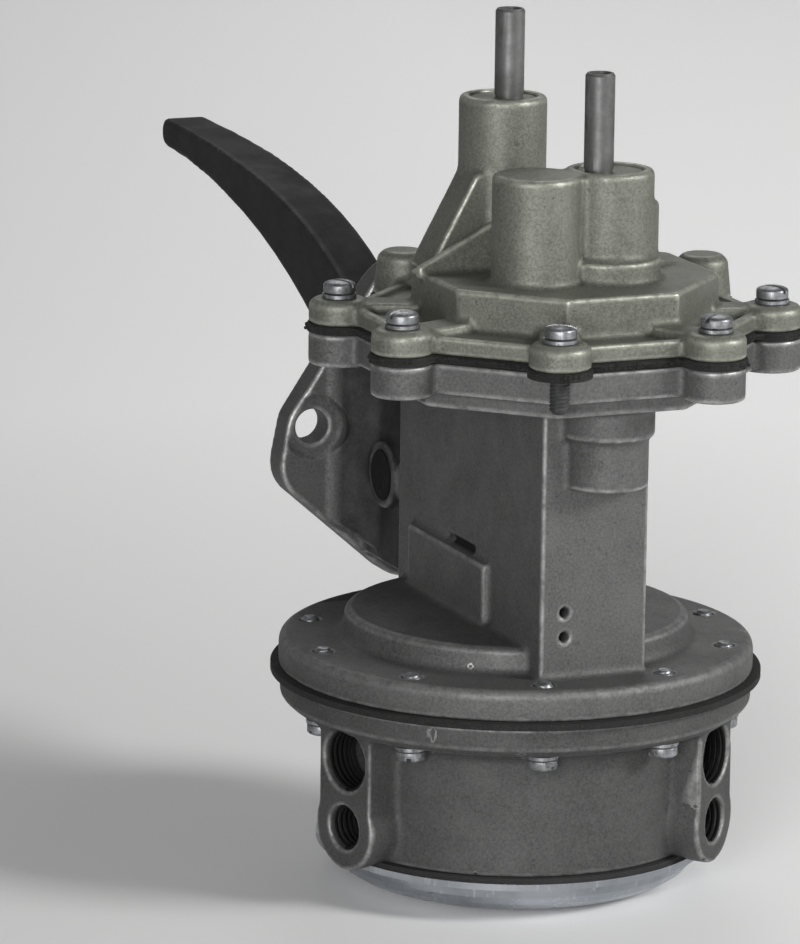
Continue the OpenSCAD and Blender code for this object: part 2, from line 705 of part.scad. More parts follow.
module rocker_holes() {
    housing_screw_places() translate([0, 0, rocker_bottom_z - 1])
        cylinder(r = screw_r + hole_gap, h = rocker_flange_t + 2, $fn = 32);
    on_vacuum_axis(vacuum_joint_z - upper_lobe_h - 1)
        at_ring(cover_screw_ring, front_lobes)
            cylinder(r = screw_r + hole_gap, h = upper_lobe_h + 2, $fn = 32);
    on_vacuum_axis(vacuum_joint_z - upper_lobe_h - 1)
        at_ring(cover_screw_ring, rear_lobes)
            cylinder(r = screw_r + clear_gap, h = upper_lobe_h + 2, $fn = 32);
    upright(engine_face_y - engine_flange_t - 12, engine_face_y + 1)
        for (s = [-1, 1]) translate([s * bolt_spacing / 2, bolt_z]) circle(r = bolt_hole_r);
    // Spot faces for the bolt heads
    upright(engine_face_y - engine_flange_t - 14, engine_face_y - engine_flange_t + 0.6)
        for (s = [-1, 1]) translate([s * bolt_spacing / 2, bolt_z]) circle(r = 8.2);
    // Vents on the front face
    for (z = [hub_z + 3.7, hub_z + 9.7])
        translate([-7.5, -column_front - 1, z]) rotate([-90, 0, 0])
            cylinder(r = 1.4, h = column_wall + 8, $fn = 24);
    // Bleed slot above the thick foot
    translate([-column_w / 2 - 1, -6, hub_z + 15.6]) cube([2.8, 17.5, 1.8]);
    translate([0, pivot_y, pivot_z]) along_x(pin_boss_x + 1)
        cylinder(r = pin_r, h = 2 * pin_boss_x + 2);
    for (s = [-1, 1])
        translate([s * (pin_boss_x - plug_t / 2 + 0.5), pivot_y, pivot_z])
            along_x(plug_t / 2 + 0.5) cylinder(r = plug_r, h = plug_t + 1);
}

module rocker_housing() {
    color(casting) difference() {
        union() {
            rocker_flanges();
            rocker_column();
        }
        rocker_cavities();
        rocker_holes();
    }
}

// Side view of the arm, as points in Y and Z
function arm_outline() =
    let (tip = [arm_reach - 4, pivot_z + 57.3], knee = [pivot_y + 9, pivot_z + 10],
         heel = [pivot_y + 17.5, pivot_z - 5])
    concat(
        [for (k = [0:16])
            cubic(knee, [pivot_y + 44, pivot_z + 46], [pivot_y + 80, pivot_z + 59.8],
                  tip + [0, 3.9], k / 16)],
        [for (t = [60:-30:-60]) tip + 4 * [cos(t), sin(t)]],
        [for (k = [16:-1:0])
            cubic(heel, [pivot_y + 50, pivot_z + 13.2], [pivot_y + 85, pivot_z + 50.2],
                  tip - [0, 3.9], k / 16)],
        [[pivot_y + 15.8, pivot_z - 8], [pivot_y + 7, pivot_z - 8], [pivot_y - 2, pivot_z]]);

// Extrude an outline given in Y and Z along X
module sideways(x0, x1) {
    translate([x0, 0, 0]) rotate([90, 0, 90]) linear_extrude(x1 - x0) children();
}

module rocker_arm() {
    wide_y = pivot_y + 16;
    color(steel) difference() {
        union() {
            intersection() {
                sideways(-arm_w / 2, arm_w / 2) polygon(arm_outline());
                translate([0, 0, pivot_z - 20]) linear_extrude(110) polygon([
                    [-hub_half_w, 0], [hub_half_w, 0], [hub_half_w, wide_y - 2],
                    [arm_w / 2, wide_y + 3], [arm_w / 2, arm_reach - 55],
                    [arm_tip_w / 2, arm_reach + 1], [-arm_tip_w / 2, arm_reach + 1],
                    [-arm_w / 2, arm_reach - 55], [-arm_w / 2, wide_y + 3],
                    [-hub_half_w, wide_y - 2]]);
            }
            translate([0, pivot_y, pivot_z]) along_x(hub_half_w)
                cylinder(r = arm_hub_r, h = 2 * hub_half_w);
            sideways(-hub_half_w, hub_half_w) polygon([
                [pivot_y + 2, pivot_z - 10.5], [pivot_y - 5, pivot_z - 2],
                [pivot_y - 10, pivot_z - 6.8], [pivot_y - 10, pivot_z - 12]]);
            // Cross pad that lifts both links
            sideways(-hub_half_w - link_t - 0.4, hub_half_w + link_t + 0.4) polygon([
                [pivot_y - 10, pivot_z - 12], [pivot_y - 5, pivot_z - 12.5],
                [pivot_y - 5, pivot_z - 10.6], [pivot_y - 10, pivot_z - 8.8]]);
        }
        translate([0, pivot_y, pivot_z]) along_x(hub_half_w + 1)
            cylinder(r = bushing_r, h = 2 * hub_half_w + 2);
    }
}

module arm_bushing() {
    half = cavity_half_w - pass_gap;
    color(brass) translate([0, pivot_y, pivot_z]) along_x(half) difference() {
        cylinder(r = bushing_r, h = 2 * half);
        translate([0, 0, -1]) cylinder(r = pin_r + run_fit, h = 2 * half + 2);
    }
}

module pivot_spacers() {
    inner = hub_half_w + link_t + pass_gap;
    color(steel) for (s = [-1, 1])
        translate([s * (inner + cavity_half_w - pass_gap) / 2, pivot_y, pivot_z])
            along_x((cavity_half_w - pass_gap - inner) / 2) difference() {
                cylinder(r = bushing_r + 2.6, h = cavity_half_w - pass_gap - inner);
                translate([0, 0, -1]) cylinder(r = bushing_r, h = 10);
            }
}

module arm_pivot_pin() {
    half = pin_boss_x - plug_t;
    color(zinc) translate([0, pivot_y, pivot_z]) along_x(half)
        cylinder(r = pin_r, h = 2 * half);
}

module pin_plugs() {
    color(zinc) for (s = [-1, 1])
        translate([s * (pin_boss_x - plug_t / 2), pivot_y, pivot_z])
            along_x(plug_t / 2) cylinder(r = plug_r, h = plug_t);
}

module arm_spring() {
    color(zinc) translate([0, arm_spring_y, 0])
        coil_spring(3.5, 0.6, arm_spring_seat_z - cavity_floor_z, 6, cavity_floor_z);
}

// Side plate on the bushing, a joggle to the middle and a round-ended finger
module link(side, bend_z, end_y, end_z) {
    plate_x = side < 0 ? -hub_half_w - pass_gap / 2 - link_t : hub_half_w + pass_gap / 2;
    bend_x = side < 0 ? plate_x : -finger_half_w;
    bend_w = hub_half_w + pass_gap / 2 + link_t + finger_half_w;
    bar = [link_joggle_y, bend_z];
    dir = ([end_y, end_z] - bar) / norm([end_y, end_z] - bar);
    nrm = [-dir.y, dir.x] * bar_half_h;
    difference() {
        union() {
            translate([plate_x, pivot_y, pivot_z]) rotate([0, 90, 0])
                cylinder(r = link_hub_r, h = link_t);
            sideways(plate_x, plate_x + link_t) polygon([
                [pivot_y, pivot_z + link_hub_r - 1], [link_joggle_y, bend_z + 2.6],
                [link_joggle_y, bend_z - 2.6], [pivot_y - 9.8, pivot_z - 8.4],
                [pivot_y - 5.2, pivot_z - 10.1], [pivot_y, pivot_z - 8]]);
            translate([bend_x, link_joggle_y - 3, bend_z - 2.6]) cube([bend_w, 6, 5.2]);
            sideways(-finger_half_w, finger_half_w) polygon([
                bar + nrm, [end_y, end_z] + nrm, [end_y, end_z] - nrm, bar - nrm]);
            translate([0, end_y, end_z]) along_x(finger_half_w)
                cylinder(r = finger_r, h = 2 * finger_half_w);
        }
        translate([0, pivot_y, pivot_z]) along_x(15)
            cylinder(r = bushing_r + run_fit, h = 30);
    }
}

module fuel_link() { color(steel) link(-1, pivot_z - 4, 0, fuel_link_z); }
module vacuum_link() {
    color(steel) link(1, pivot_z + 7, -vacuum_offset, vacuum_link_z);
}

module vacuum_push_rod() {
    low = vacuum_link_z + finger_r + 5;
    top = vacuum_plate_top_z + rivet_t;
    color(steel) {
        on_vacuum_axis(low) cylinder(r = rod_r, h = top - low);
        on_vacuum_axis(top - rivet_t) cylinder(r = rivet_r, h = rivet_t);
        rod_head(-vacuum_offset, vacuum_link_z, false);
    }
}

module vacuum_oil_seal() {
    color(rubber) on_vacuum_axis(recess_floor_z - seal_pocket_h) oil_seal();
}

module vacuum_seal_retainer() {
    color(zinc) on_vacuum_axis(recess_floor_z - seal_pocket_h + seal_t) seal_retainer();
}

module vacuum_lower_plate() {
    color(zinc) on_vacuum_axis(vacuum_centre_z - vacuum_plate_t)
        rod_plate(vacuum_plate_r, vacuum_plate_t);
}

module vacuum_upper_plate() {
    color(zinc) on_vacuum_axis(vacuum_centre_z + vacuum_diaphragm_t)
        rod_plate(vacuum_plate_r, vacuum_plate_t);
}

module vacuum_diaphragm() {
    color(cloth) on_vacuum_axis(vacuum_joint_z) difference() {
        union() {
            rotate_extrude($fn = 128)
                diaphragm_profile(vacuum_clamp_r + 1, vacuum_diaphragm_t, vacuum_dip,
                                  vacuum_plate_r + 1, rod_r + hole_gap, vacuum_clamp_r);
            difference() {
                union() {
                    octagon(plate_apothem + 0.3, vacuum_diaphragm_t);
                    at_ring(cover_screw_ring, concat(front_lobes, rear_lobes))
                        cylinder(r = lobe_r + 0.3, h = vacuum_diaphragm_t, $fn = 32);
                }
                translate([0, 0, -1])
                    cylinder(r = vacuum_clamp_r, h = vacuum_diaphragm_t + 2);
            }
        }
        at_ring(cover_screw_ring, concat(front_lobes, rear_lobes))
            translate([0, 0, -1])
                cylinder(r = screw_r + clear_gap, h = vacuum_diaphragm_t + 2, $fn = 32);
    }
}

module vacuum_spring() {
    color(zinc) on_vacuum_axis()
        coil_spring(9.4, 1, dome_ceiling_z - vacuum_plate_top_z, 4.5, vacuum_plate_top_z);
}

module cover_body() {
    on_vacuum_axis(cover_bottom_z) {
        octagon(plate_apothem, cover_plate_t);
        difference() {
            octagon(plate_apothem, cover_plate_t + rim_h);
            translate([0, 0, cover_plate_t]) octagon(plate_apothem - rim_w, rim_h + 1);
        }
        translate([dome_shift, 0, 0]) octagon(dome_apothem, cover_plate_t + dome_h);
        at_ring(cover_screw_ring, front_lobes) cylinder(r = lobe_r, h = lobe_h - 1.2, $fn = 32);
        at_ring(cover_screw_ring, front_lobes) translate([0, 0, lobe_h - 1.2])
            cylinder(r1 = lobe_r, r2 = lobe_r - 1.4, h = 1.2, $fn = 32);
        at_ring(cover_screw_ring, rear_lobes)
            cylinder(r1 = lobe_r, r2 = lobe_r - 1, h = rear_lobe_h - 1.6, $fn = 32);
        at_ring(cover_screw_ring, rear_lobes) translate([0, 0, rear_lobe_h - 1.6])
            cylinder(r1 = lobe_r - 1, r2 = lobe_r - 2.6, h = 1.6, $fn = 32);
        for (a = concat(front_lobes, rear_lobes))
            rotate([0, 0, a]) translate([dome_apothem - 2, -web_half, 0])
                cube([cover_screw_ring - dome_apothem + 2, 2 * web_half, lobe_h - 0.6]);
    }
}

module cover_boss(place, radius, h) {
    translate([place.x, place.y, dome_z - 1]) rotate_extrude() polygon(concat(
        [[0, 0], [radius, 0]],
        [for (t = [0:22.5:90]) [radius - 1.2 + 1.2 * cos(t), h - 0.2 + 1.2 * sin(t)]],
        [[0, h + 1]]));
}

module cover_ribs() {
    // Wedge that carries the tall boss
    translate([0, tall_boss.y + 4, 0]) rotate([90, 0, 0]) linear_extrude(12)
        polygon([[tall_boss.x, dome_z - 1], [-28, dome_z - 1], [-26, dome_z + 3],
                 [tall_boss.x - tall_boss_r + 0.6, dome_z + 22], [tall_boss.x, dome_z + 22]]);
    // Thin gusset between the bosses and the dome's edge
    translate([0, -12, 0]) rotate([90, 0, 0]) linear_extrude(2.2)
        polygon([[-10, dome_z - 1], [-33, dome_z - 1], [-33, dome_z + 1.6],
                 [-12, dome_z + 12.5], [-10, dome_z + 12.5]]);
    // Gusset behind the short boss, toward the rear right lobe
    translate([short_boss.x, short_boss.y, 0]) rotate([90, 0, 30])
        translate([0, 0, -2.5]) linear_extrude(5)
            polygon([[0, dome_z - 1], [28, dome_z - 1], [25, dome_z + 0.6],
                     [17, dome_z + 2], [short_boss_r - 1, dome_z + 12], [0, dome_z + 12]]);
    // Collar and shoulder of the short boss
    translate([short_boss.x, short_boss.y, dome_z - 1]) cylinder(r = 12.6, h = 6.3);
    translate([short_boss.x + 1, short_boss.y + 2, dome_z - 1]) cylinder(r = 11.8, h = 19);
}

module vacuum_cover() {
    color(cover_casting) difference() {
        union() {
            cover_body();
            cover_boss(tall_boss, tall_boss_r, tall_boss_h);
            cover_boss(short_boss, short_boss_r, short_boss_h);
            cover_boss(blind_boss, blind_boss_r, blind_boss_h);
            cover_ribs();
        }
        on_vacuum_axis(cover_bottom_z - 1)
            cylinder(r = dome_cavity_r, h = dome_ceiling_z - cover_bottom_z + 1, $fn = 128);
        for (b = [[tall_boss, tall_boss_h], [short_boss, short_boss_h]])
            translate([b[0].x, b[0].y, dome_z]) cylinder(r = boss_bore_r, h = b[1] + 1);
        translate([tall_boss.x, tall_boss.y, dome_ceiling_z - 1])
            cylinder(r = port_hole_r * 1.6, h = dome_wall + 2);
        translate([short_boss.x + short_port_shift.x, short_boss.y + short_port_shift.y,
                   dome_ceiling_z - 1])
            cylinder(r = port_hole_r, h = dome_wall + 2);
        on_vacuum_axis(cover_bottom_z - 1) at_ring(cover_screw_ring, front_lobes)
            cylinder(r = screw_r + clear_gap, h = lobe_h + 2, $fn = 32);
        on_vacuum_axis(cover_bottom_z - 1) at_ring(cover_screw_ring, rear_lobes)
            cylinder(r = screw_r + hole_gap, h = rear_lobe_h - 2, $fn = 32);
    }
}

module vacuum_inlet_valve_seat() { color(brass) place_vacuum_inlet_valve() valve_seat(); }
module vacuum_inlet_valve_disc() { color(rubber) place_vacuum_inlet_valve() valve_disc(); }
module vacuum_inlet_valve_spring() { color(zinc) place_vacuum_inlet_valve() valve_spring(); }
module vacuum_outlet_valve_seat() { color(brass) place_vacuum_outlet_valve() valve_seat(); }
module vacuum_outlet_valve_disc() { color(rubber) place_vacuum_outlet_valve() valve_disc(); }
module vacuum_outlet_valve_spring() { color(zinc) place_vacuum_outlet_valve() valve_spring(); }

module boss_plug(place, boss_h, shift) {
    translate([place.x, place.y, dome_z + boss_h - plug_recess - plug_depth]) difference() {
        cylinder(r = boss_bore_r, h = plug_depth);
        translate([shift, 0, -1]) cylinder(r = tube_r - tube_step, h = plug_depth + 2);
    }
}

// A tube whose lower end is turned down where it is pressed into its plug
module boss_tube(place, boss_h, shift, length) {
    low = dome_z + boss_h - plug_recess - plug_depth;
    top = plug_depth + plug_recess + length;
    translate([place.x + shift, place.y, low]) rotate_extrude() polygon([
        [tube_r - tube_wall, 0], [tube_r - tube_step, 0],
        [tube_r - tube_step, plug_depth + plug_recess], [tube_r, plug_depth + plug_recess],
        [tube_r, top - 0.6], [tube_r - 0.4, top], [tube_r - tube_wall, top]]);
}

module vacuum_inlet_plug() {
    color(cover_casting) boss_plug(short_boss, short_boss_h, short_tube_shift);
}

module vacuum_outlet_plug() {
    color(cover_casting) boss_plug(tall_boss, tall_boss_h, tall_tube_shift);
}

module vacuum_inlet_tube() {
    color(steel) boss_tube(short_boss, short_boss_h, short_tube_shift, short_tube_l);
}

module vacuum_outlet_tube() {
    color(steel) boss_tube(tall_boss, tall_boss_h, tall_tube_shift, tall_tube_l);
}

module cover_screws() {
    color(zinc) on_vacuum_axis(cover_bottom_z + lobe_h + lock_washer_t)
        at_ring(cover_screw_ring, front_lobes)
            slotted_screw(lobe_h + lock_washer_t + vacuum_diaphragm_t + upper_lobe_h + 0.8, 60);
}

module cover_lock_washers() {
    color(zinc) on_vacuum_axis(cover_bottom_z + lobe_h)
        at_ring(cover_screw_ring, front_lobes) lock_washer();
}

module cover_rear_screws() {
    color(zinc) on_vacuum_axis(vacuum_joint_z - upper_lobe_h - lock_washer_t)
        at_ring(cover_screw_ring, rear_lobes) mirror([0, 0, 1])
            slotted_screw(upper_lobe_h + lock_washer_t + vacuum_diaphragm_t + 7.5, 60);
}

module rear_lock_washers() {
    color(zinc) on_vacuum_axis(vacuum_joint_z - upper_lobe_h - lock_washer_t)
        at_ring(cover_screw_ring, rear_lobes) lock_washer();
}

pulsator_cap();
cap_screw();
pulsator_diaphragm();
valve_housing();
fuel_inlet_valve_seat();
fuel_inlet_valve_disc();
fuel_inlet_valve_spring();
fuel_outlet_valve_seat();
fuel_outlet_valve_disc();
fuel_outlet_valve_spring();
fuel_diaphragm();
fuel_lower_plate();
fuel_upper_plate();
fuel_pull_rod();
fuel_spring();
fuel_oil_seal();
fuel_seal_retainer();
housing_screws();
housing_lock_washers();
rocker_housing();
rocker_arm();
arm_bushing();
pivot_spacers();
arm_pivot_pin();
pin_plugs();
arm_spring();
fuel_link();
vacuum_link();
vacuum_push_rod();
vacuum_oil_seal();
vacuum_seal_retainer();
vacuum_lower_plate();
vacuum_upper_plate();
vacuum_diaphragm();
vacuum_spring();
vacuum_cover();
vacuum_inlet_valve_seat();
vacuum_inlet_valve_disc();
vacuum_inlet_valve_spring();
vacuum_outlet_valve_seat();
vacuum_outlet_valve_disc();
vacuum_outlet_valve_spring();
vacuum_inlet_plug();
vacuum_outlet_plug();
vacuum_inlet_tube();
vacuum_outlet_tube();
cover_screws();
cover_rear_screws();
cover_lock_washers();
rear_lock_washers();
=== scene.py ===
"""Dresses the double-action fuel pump: cast skins, forged arm, screws, cloth edges and a stage."""

import math

import bmesh
import bpy
from bpy.props import (FloatProperty, FloatVectorProperty, IntProperty,
                       PointerProperty)
from bpy.types import Operator, Panel, PropertyGroup
from mathutils import Matrix, Vector, noise
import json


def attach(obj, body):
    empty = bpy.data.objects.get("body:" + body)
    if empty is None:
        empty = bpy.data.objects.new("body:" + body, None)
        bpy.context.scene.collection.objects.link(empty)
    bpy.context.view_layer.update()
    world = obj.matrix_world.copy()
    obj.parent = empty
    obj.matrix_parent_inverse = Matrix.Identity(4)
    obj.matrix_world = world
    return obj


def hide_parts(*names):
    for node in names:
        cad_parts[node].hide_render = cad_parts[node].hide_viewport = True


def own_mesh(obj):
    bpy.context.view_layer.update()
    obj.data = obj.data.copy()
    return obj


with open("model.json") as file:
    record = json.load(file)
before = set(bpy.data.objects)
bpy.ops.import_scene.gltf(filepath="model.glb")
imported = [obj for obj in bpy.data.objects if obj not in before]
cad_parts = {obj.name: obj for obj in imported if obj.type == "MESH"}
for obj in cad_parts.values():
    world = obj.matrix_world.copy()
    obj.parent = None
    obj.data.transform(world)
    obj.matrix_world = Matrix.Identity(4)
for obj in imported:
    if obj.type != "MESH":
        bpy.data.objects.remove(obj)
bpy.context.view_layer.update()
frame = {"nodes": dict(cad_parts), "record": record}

bl_info = {
    "name": "Fuel pump dressing",
    "version": (1, 0, 0),
    "blender": (4, 5, 0),
    "location": "View3D > Sidebar > Fuel Pump",
    "description": "Builds the looks of a double-action mechanical fuel pump",
    "category": "Object",
}

MM = 0.001

# Places that the construction gives, in millimetres above the foot
VACUUM_AXIS_Y = -20.3
FUEL_JOINT = 51.5
VALVE_FLANGE_BOTTOM = 43.9
VACUUM_JOINT = 139.0
COVER_BOTTOM = 141.0
COVER_LOBE_TOP = 147.0
LOBE_RING = 51.6
LOBE_RADIUS = 7.6
PLATE_APOTHEM = 46.3
VIEW_TURN = math.radians(-22.5)
# Box over the bleed slot, painted dark as shade in the recess
SHADED_BLEED_SLOT = ((-15.3, -6.2, 82.4), (-11.8, 7.5, 84.6))
# Soft pieces: node, joint it gives way to, the moving end's way and the height of the fixed end
SOFT_PARTS = (
    ("fuel_spring", "fuel_rod_slide", 3.66, 62.1),
    ("fuel_diaphragm", "fuel_rod_slide", 3.66, 53.1),
    ("vacuum_spring", "vacuum_rod_slide", 5.08, 151.0),
    ("vacuum_diaphragm", "vacuum_rod_slide", 5.08, 141.0),
    ("fuel_inlet_valve_spring", "fuel_inlet_valve_lift", 1.5, 40.1),
    ("fuel_outlet_valve_spring", "fuel_outlet_valve_lift", 1.5, 33.6),
    ("vacuum_inlet_valve_spring", "vacuum_inlet_valve_lift", 1.5, 155.5),
    ("vacuum_outlet_valve_spring", "vacuum_outlet_valve_lift", 1.5, 162.0),
    ("arm_spring", "arm_swing", 0.8, 68.0))
PORT_ANGLES = (197.5, 311.5)
PORT_FACE = 54.0
PORTS = ((36.9, 7.5), (20.2, 5.4))


# ---------------------------------------------------------------- meshes

def new_object(name, mesh):
    """An object at the origin that holds the mesh."""
    piece = bpy.data.objects.new(name, mesh)
    bpy.context.scene.collection.objects.link(piece)
    return piece


def mesh_object(name, points, faces, smooth=True):
    """An object from points in millimetres, with outward faces."""
    mesh = bpy.data.meshes.new(name)
    mesh.from_pydata([Vector(p) * MM for p in points], [], faces)
    form = bmesh.new()
    form.from_mesh(mesh)
    bmesh.ops.remove_doubles(form, verts=form.verts, dist=1e-7)
    bmesh.ops.recalc_face_normals(form, faces=form.faces)
    form.to_mesh(mesh)
    form.free()
    for face in mesh.polygons:
        face.use_smooth = smooth
    return new_object(name, mesh)


def bake_modifiers(piece):
    """Turns the piece and its modifiers into a plain mesh."""
    bpy.context.view_layer.update()
    graph = bpy.context.evaluated_depsgraph_get()
    mesh = bpy.data.meshes.new_from_object(piece.evaluated_get(graph))
    piece.modifiers.clear()
    old = piece.data
    piece.data = mesh
    bpy.data.meshes.remove(old)
    mesh.name = piece.name
    return piece


def node_copy(name, node):
    """A merged copy of a CAD node's mesh."""
    mesh = frame["nodes"][node].data.copy()
    form = bmesh.new()
    form.from_mesh(mesh)
    bmesh.ops.remove_doubles(form, verts=form.verts, dist=1e-6)
    form.to_mesh(mesh)
    form.free()
    mesh.materials.clear()
    return new_object(name, mesh)


def dress(piece, material, body="housing", node=None):
    """Gives a finished piece its material and body, and hides the nodes it stands for."""
    piece.data.materials.clear()
    piece.data.materials.append(material)
    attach(piece, body)
    if node:
        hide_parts(*([node] if isinstance(node, str) else node))
    return piece


def sharpen(piece, angle=35.0):
    """Smooth shading that keeps the edges steeper than the angle."""
    mesh = piece.data
    for face in mesh.polygons:
        face.use_smooth = True
    mesh.set_sharp_from_angle(angle=math.radians(angle))
    return piece


def cast_skin(name, node, voxel, fillet, soften, most_triangles):
    """A casting's skin: the node's solid with filled inner corners and worn outer edges."""
    piece = node_copy(name, node)
    for step in (0.0, fillet, -fillet):
        if step:
            grow = piece.modifiers.new("Grow", "DISPLACE")
            grow.mid_level = 0.0
            grow.strength = step * MM
        remesh = piece.modifiers.new("Skin", "REMESH")
        remesh.mode = "VOXEL"
        remesh.voxel_size = voxel * MM
    smooth = piece.modifiers.new("Soften", "SMOOTH")
    smooth.iterations = soften
    smooth.factor = 0.5
    bake_modifiers(piece)
    triangles = sum(len(face.vertices) - 2 for face in piece.data.polygons)
    if triangles > most_triangles:
        thin = piece.modifiers.new("Thin", "DECIMATE")
        thin.ratio = most_triangles / triangles
        bake_modifiers(piece)
    for face in piece.data.polygons:
        face.use_smooth = True
    return piece


def lathe(profile, segments=64, close_ends=True):
    """Points and faces of a profile of radius and height, turned about Z."""
    points, faces = [], []
    rows = len(profile)
    for k in range(segments):
        angle = 2 * math.pi * k / segments
        points += [(r * math.cos(angle), r * math.sin(angle), z) for r, z in profile]
    for k in range(segments):
        nxt = (k + 1) % segments
        for i in range(rows - 1):
            faces.append((k * rows + i, nxt * rows + i, nxt * rows + i + 1, k * rows + i + 1))
    if close_ends:
        faces.append([k * rows for k in range(segments)][::-1])
        faces.append([k * rows + rows - 1 for k in range(segments)])
    return points, faces


def threaded_rod(radius, depth, pitch, low, high, segments=28, steps=6):
    """Points and faces of a rod with a helical thread between two heights."""
    rows = int((high - low) / pitch * steps)
    points, faces = [], []
    for i in range(rows + 1):
        z = low + (high - low) * i / rows
        point = 0.62 + 0.38 * min(1.0, (z - low) / 0.9)
        for k in range(segments):
            turn = k / segments
            wave = abs(((z / pitch - turn) % 1.0) * 2.0 - 1.0)
            r = (radius - depth * wave) * point
            angle = 2 * math.pi * turn
            points.append((r * math.cos(angle), r * math.sin(angle), z))
    for i in range(rows):
        for k in range(segments):
            nxt = (k + 1) % segments
            faces.append((i * segments + k, i * segments + nxt,
                          (i + 1) * segments + nxt, (i + 1) * segments + k))
    faces.append(list(range(segments))[::-1])
    faces.append([rows * segments + k for k in range(segments)])
    return points, faces


def joined(parts):
    """One list of points and faces from several."""
    points, faces = [], []
    for more_points, more_faces in parts:
        base = len(points)
        points += more_points
        faces += [[base + i for i in face] for face in more_faces]
    return points, faces


# ---------------------------------------------------------------- shader groups

def group_sockets(name, inputs, outputs):
    """A shader node group with named float inputs and typed outputs."""
    tree = bpy.data.node_groups.new(name, "ShaderNodeTree")
    for label, value in inputs:
        socket = tree.interface.new_socket(label, in_out="INPUT", socket_type="NodeSocketFloat")
        socket.default_value = value
    for label, kind in outputs:
        tree.interface.new_socket(label, in_out="OUTPUT", socket_type=kind)
    return tree, tree.nodes.new("NodeGroupInput"), tree.nodes.new("NodeGroupOutput")


def noise_node(tree, scale, detail=4.0, roughness=0.55, vector=None):
    """A noise texture on Object coordinates, or on the given vector."""
    node = tree.nodes.new("ShaderNodeTexNoise")
    node.inputs["Detail"].default_value = detail
    node.inputs["Roughness"].default_value = roughness
    if hasattr(scale, "links"):
        tree.links.new(scale, node.inputs["Scale"])
    else:
        node.inputs["Scale"].default_value = scale
    if vector is None:
        vector = tree.nodes.new("ShaderNodeTexCoord").outputs["Object"]
    tree.links.new(vector, node.inputs["Vector"])
    return node.outputs["Fac"]


def ramp_node(tree, value, low, high, to_low=0.0, to_high=1.0):
    """Maps a value from one range to another, clamped."""
    node = tree.nodes.new("ShaderNodeMapRange")
    tree.links.new(value, node.inputs["Value"])
    for label, number in (("From Min", low), ("From Max", high),
                          ("To Min", to_low), ("To Max", to_high)):
        if hasattr(number, "links"):
            tree.links.new(number, node.inputs[label])
        else:
            node.inputs[label].default_value = number
    return node.outputs["Result"]


def math_node(tree, operation, first, second=None, clamp=False):
    """A Math node on values or sockets."""
    node = tree.nodes.new("ShaderNodeMath")
    node.operation = operation
    node.use_clamp = clamp
    for index, value in enumerate((first, second)):
        if value is None:
            continue
        if hasattr(value, "links"):
            tree.links.new(value, node.inputs[index])
        else:
            node.inputs[index].default_value = value
    return node.outputs[0]


def build_grain_group():
    """Sand grain, light specks, pits and broad blotches of a casting."""
    tree, into, out = group_sockets(
        "Cast grain",
        [("Grain Scale", 1900.0), ("Speck Scale", 1500.0), ("Pit Scale", 620.0),
         ("Blotch Scale", 75.0)],
        [("Height", "NodeSocketFloat"), ("Specks", "NodeSocketFloat"),
         ("Pits", "NodeSocketFloat"), ("Blotch", "NodeSocketFloat")])
    fine = noise_node(tree, into.outputs["Grain Scale"], 4.0, 0.65)
    speck = noise_node(tree, into.outputs["Speck Scale"], 3.0, 0.7)
    coarse = noise_node(tree, into.outputs["Pit Scale"], 2.0, 0.5)
    pits = ramp_node(tree, coarse, 0.68, 0.76)
    broad = noise_node(tree, into.outputs["Blotch Scale"], 5.0, 0.66)
    height = math_node(tree, "SUBTRACT", fine, math_node(tree, "MULTIPLY", pits, 0.8))
    tree.links.new(height, out.inputs["Height"])
    tree.links.new(ramp_node(tree, speck, 0.36, 0.66), out.inputs["Specks"])
    tree.links.new(pits, out.inputs["Pits"])
    tree.links.new(ramp_node(tree, broad, 0.34, 0.66), out.inputs["Blotch"])
    return tree


def build_wear_group():
    """Masks from the mesh's curvature: worn outer edges, which also paint edge highlights, and
    hollows, which paint shade with some grime.
    """
    tree, into, out = group_sockets(
        "Edge wear",
        [("Edge Start", 0.507), ("Edge End", 0.535), ("Hollow Start", 0.49),
         ("Hollow End", 0.455)],
        [("Edge", "NodeSocketFloat"), ("Hollow", "NodeSocketFloat")])
    point = tree.nodes.new("ShaderNodeNewGeometry").outputs["Pointiness"]
    broken = noise_node(tree, 260.0, 4.0, 0.65)
    # Worn edges; brightening them also paints highlights on the edges
    edge = ramp_node(tree, point, into.outputs["Edge Start"], into.outputs["Edge End"])
    edge = math_node(tree, "MULTIPLY", edge, ramp_node(tree, point, 0.575, 0.60, 1.0, 0.0))
    worn = math_node(tree, "MULTIPLY", edge, ramp_node(tree, broken, 0.36, 0.62, 0.25, 1.0))
    # Hollows, darkened later as painted shade with some grime
    hollow_shade = ramp_node(tree, point, into.outputs["Hollow Start"], into.outputs["Hollow End"])
    tree.links.new(worn, out.inputs["Edge"])
    tree.links.new(hollow_shade, out.inputs["Hollow"])
    return tree


def build_scratch_group():
    """Fine scratches and smears of handled plated metal."""
    tree, into, out = group_sockets(
        "Handling marks", [("Scratch Scale", 900.0), ("Smear Scale", 60.0)],
        [("Scratch", "NodeSocketFloat"), ("Smear", "NodeSocketFloat")])
    coord = tree.nodes.new("ShaderNodeTexCoord").outputs["Object"]
    squeeze = tree.nodes.new("ShaderNodeMapping")
    squeeze.inputs["Scale"].default_value = (1.0, 1.0, 0.08)
    squeeze.inputs["Rotation"].default_value = (0.5, 0.9, 0.3)
    tree.links.new(coord, squeeze.inputs["Vector"])
    lines = noise_node(tree, into.outputs["Scratch Scale"], 3.0, 0.5, squeeze.outputs[0])
    smear = noise_node(tree, into.outputs["Smear Scale"], 5.0, 0.65)
    tree.links.new(ramp_node(tree, lines, 0.60, 0.70), out.inputs["Scratch"])
    tree.links.new(ramp_node(tree, smear, 0.35, 0.68), out.inputs["Smear"])
    return tree


GROUPS = {}


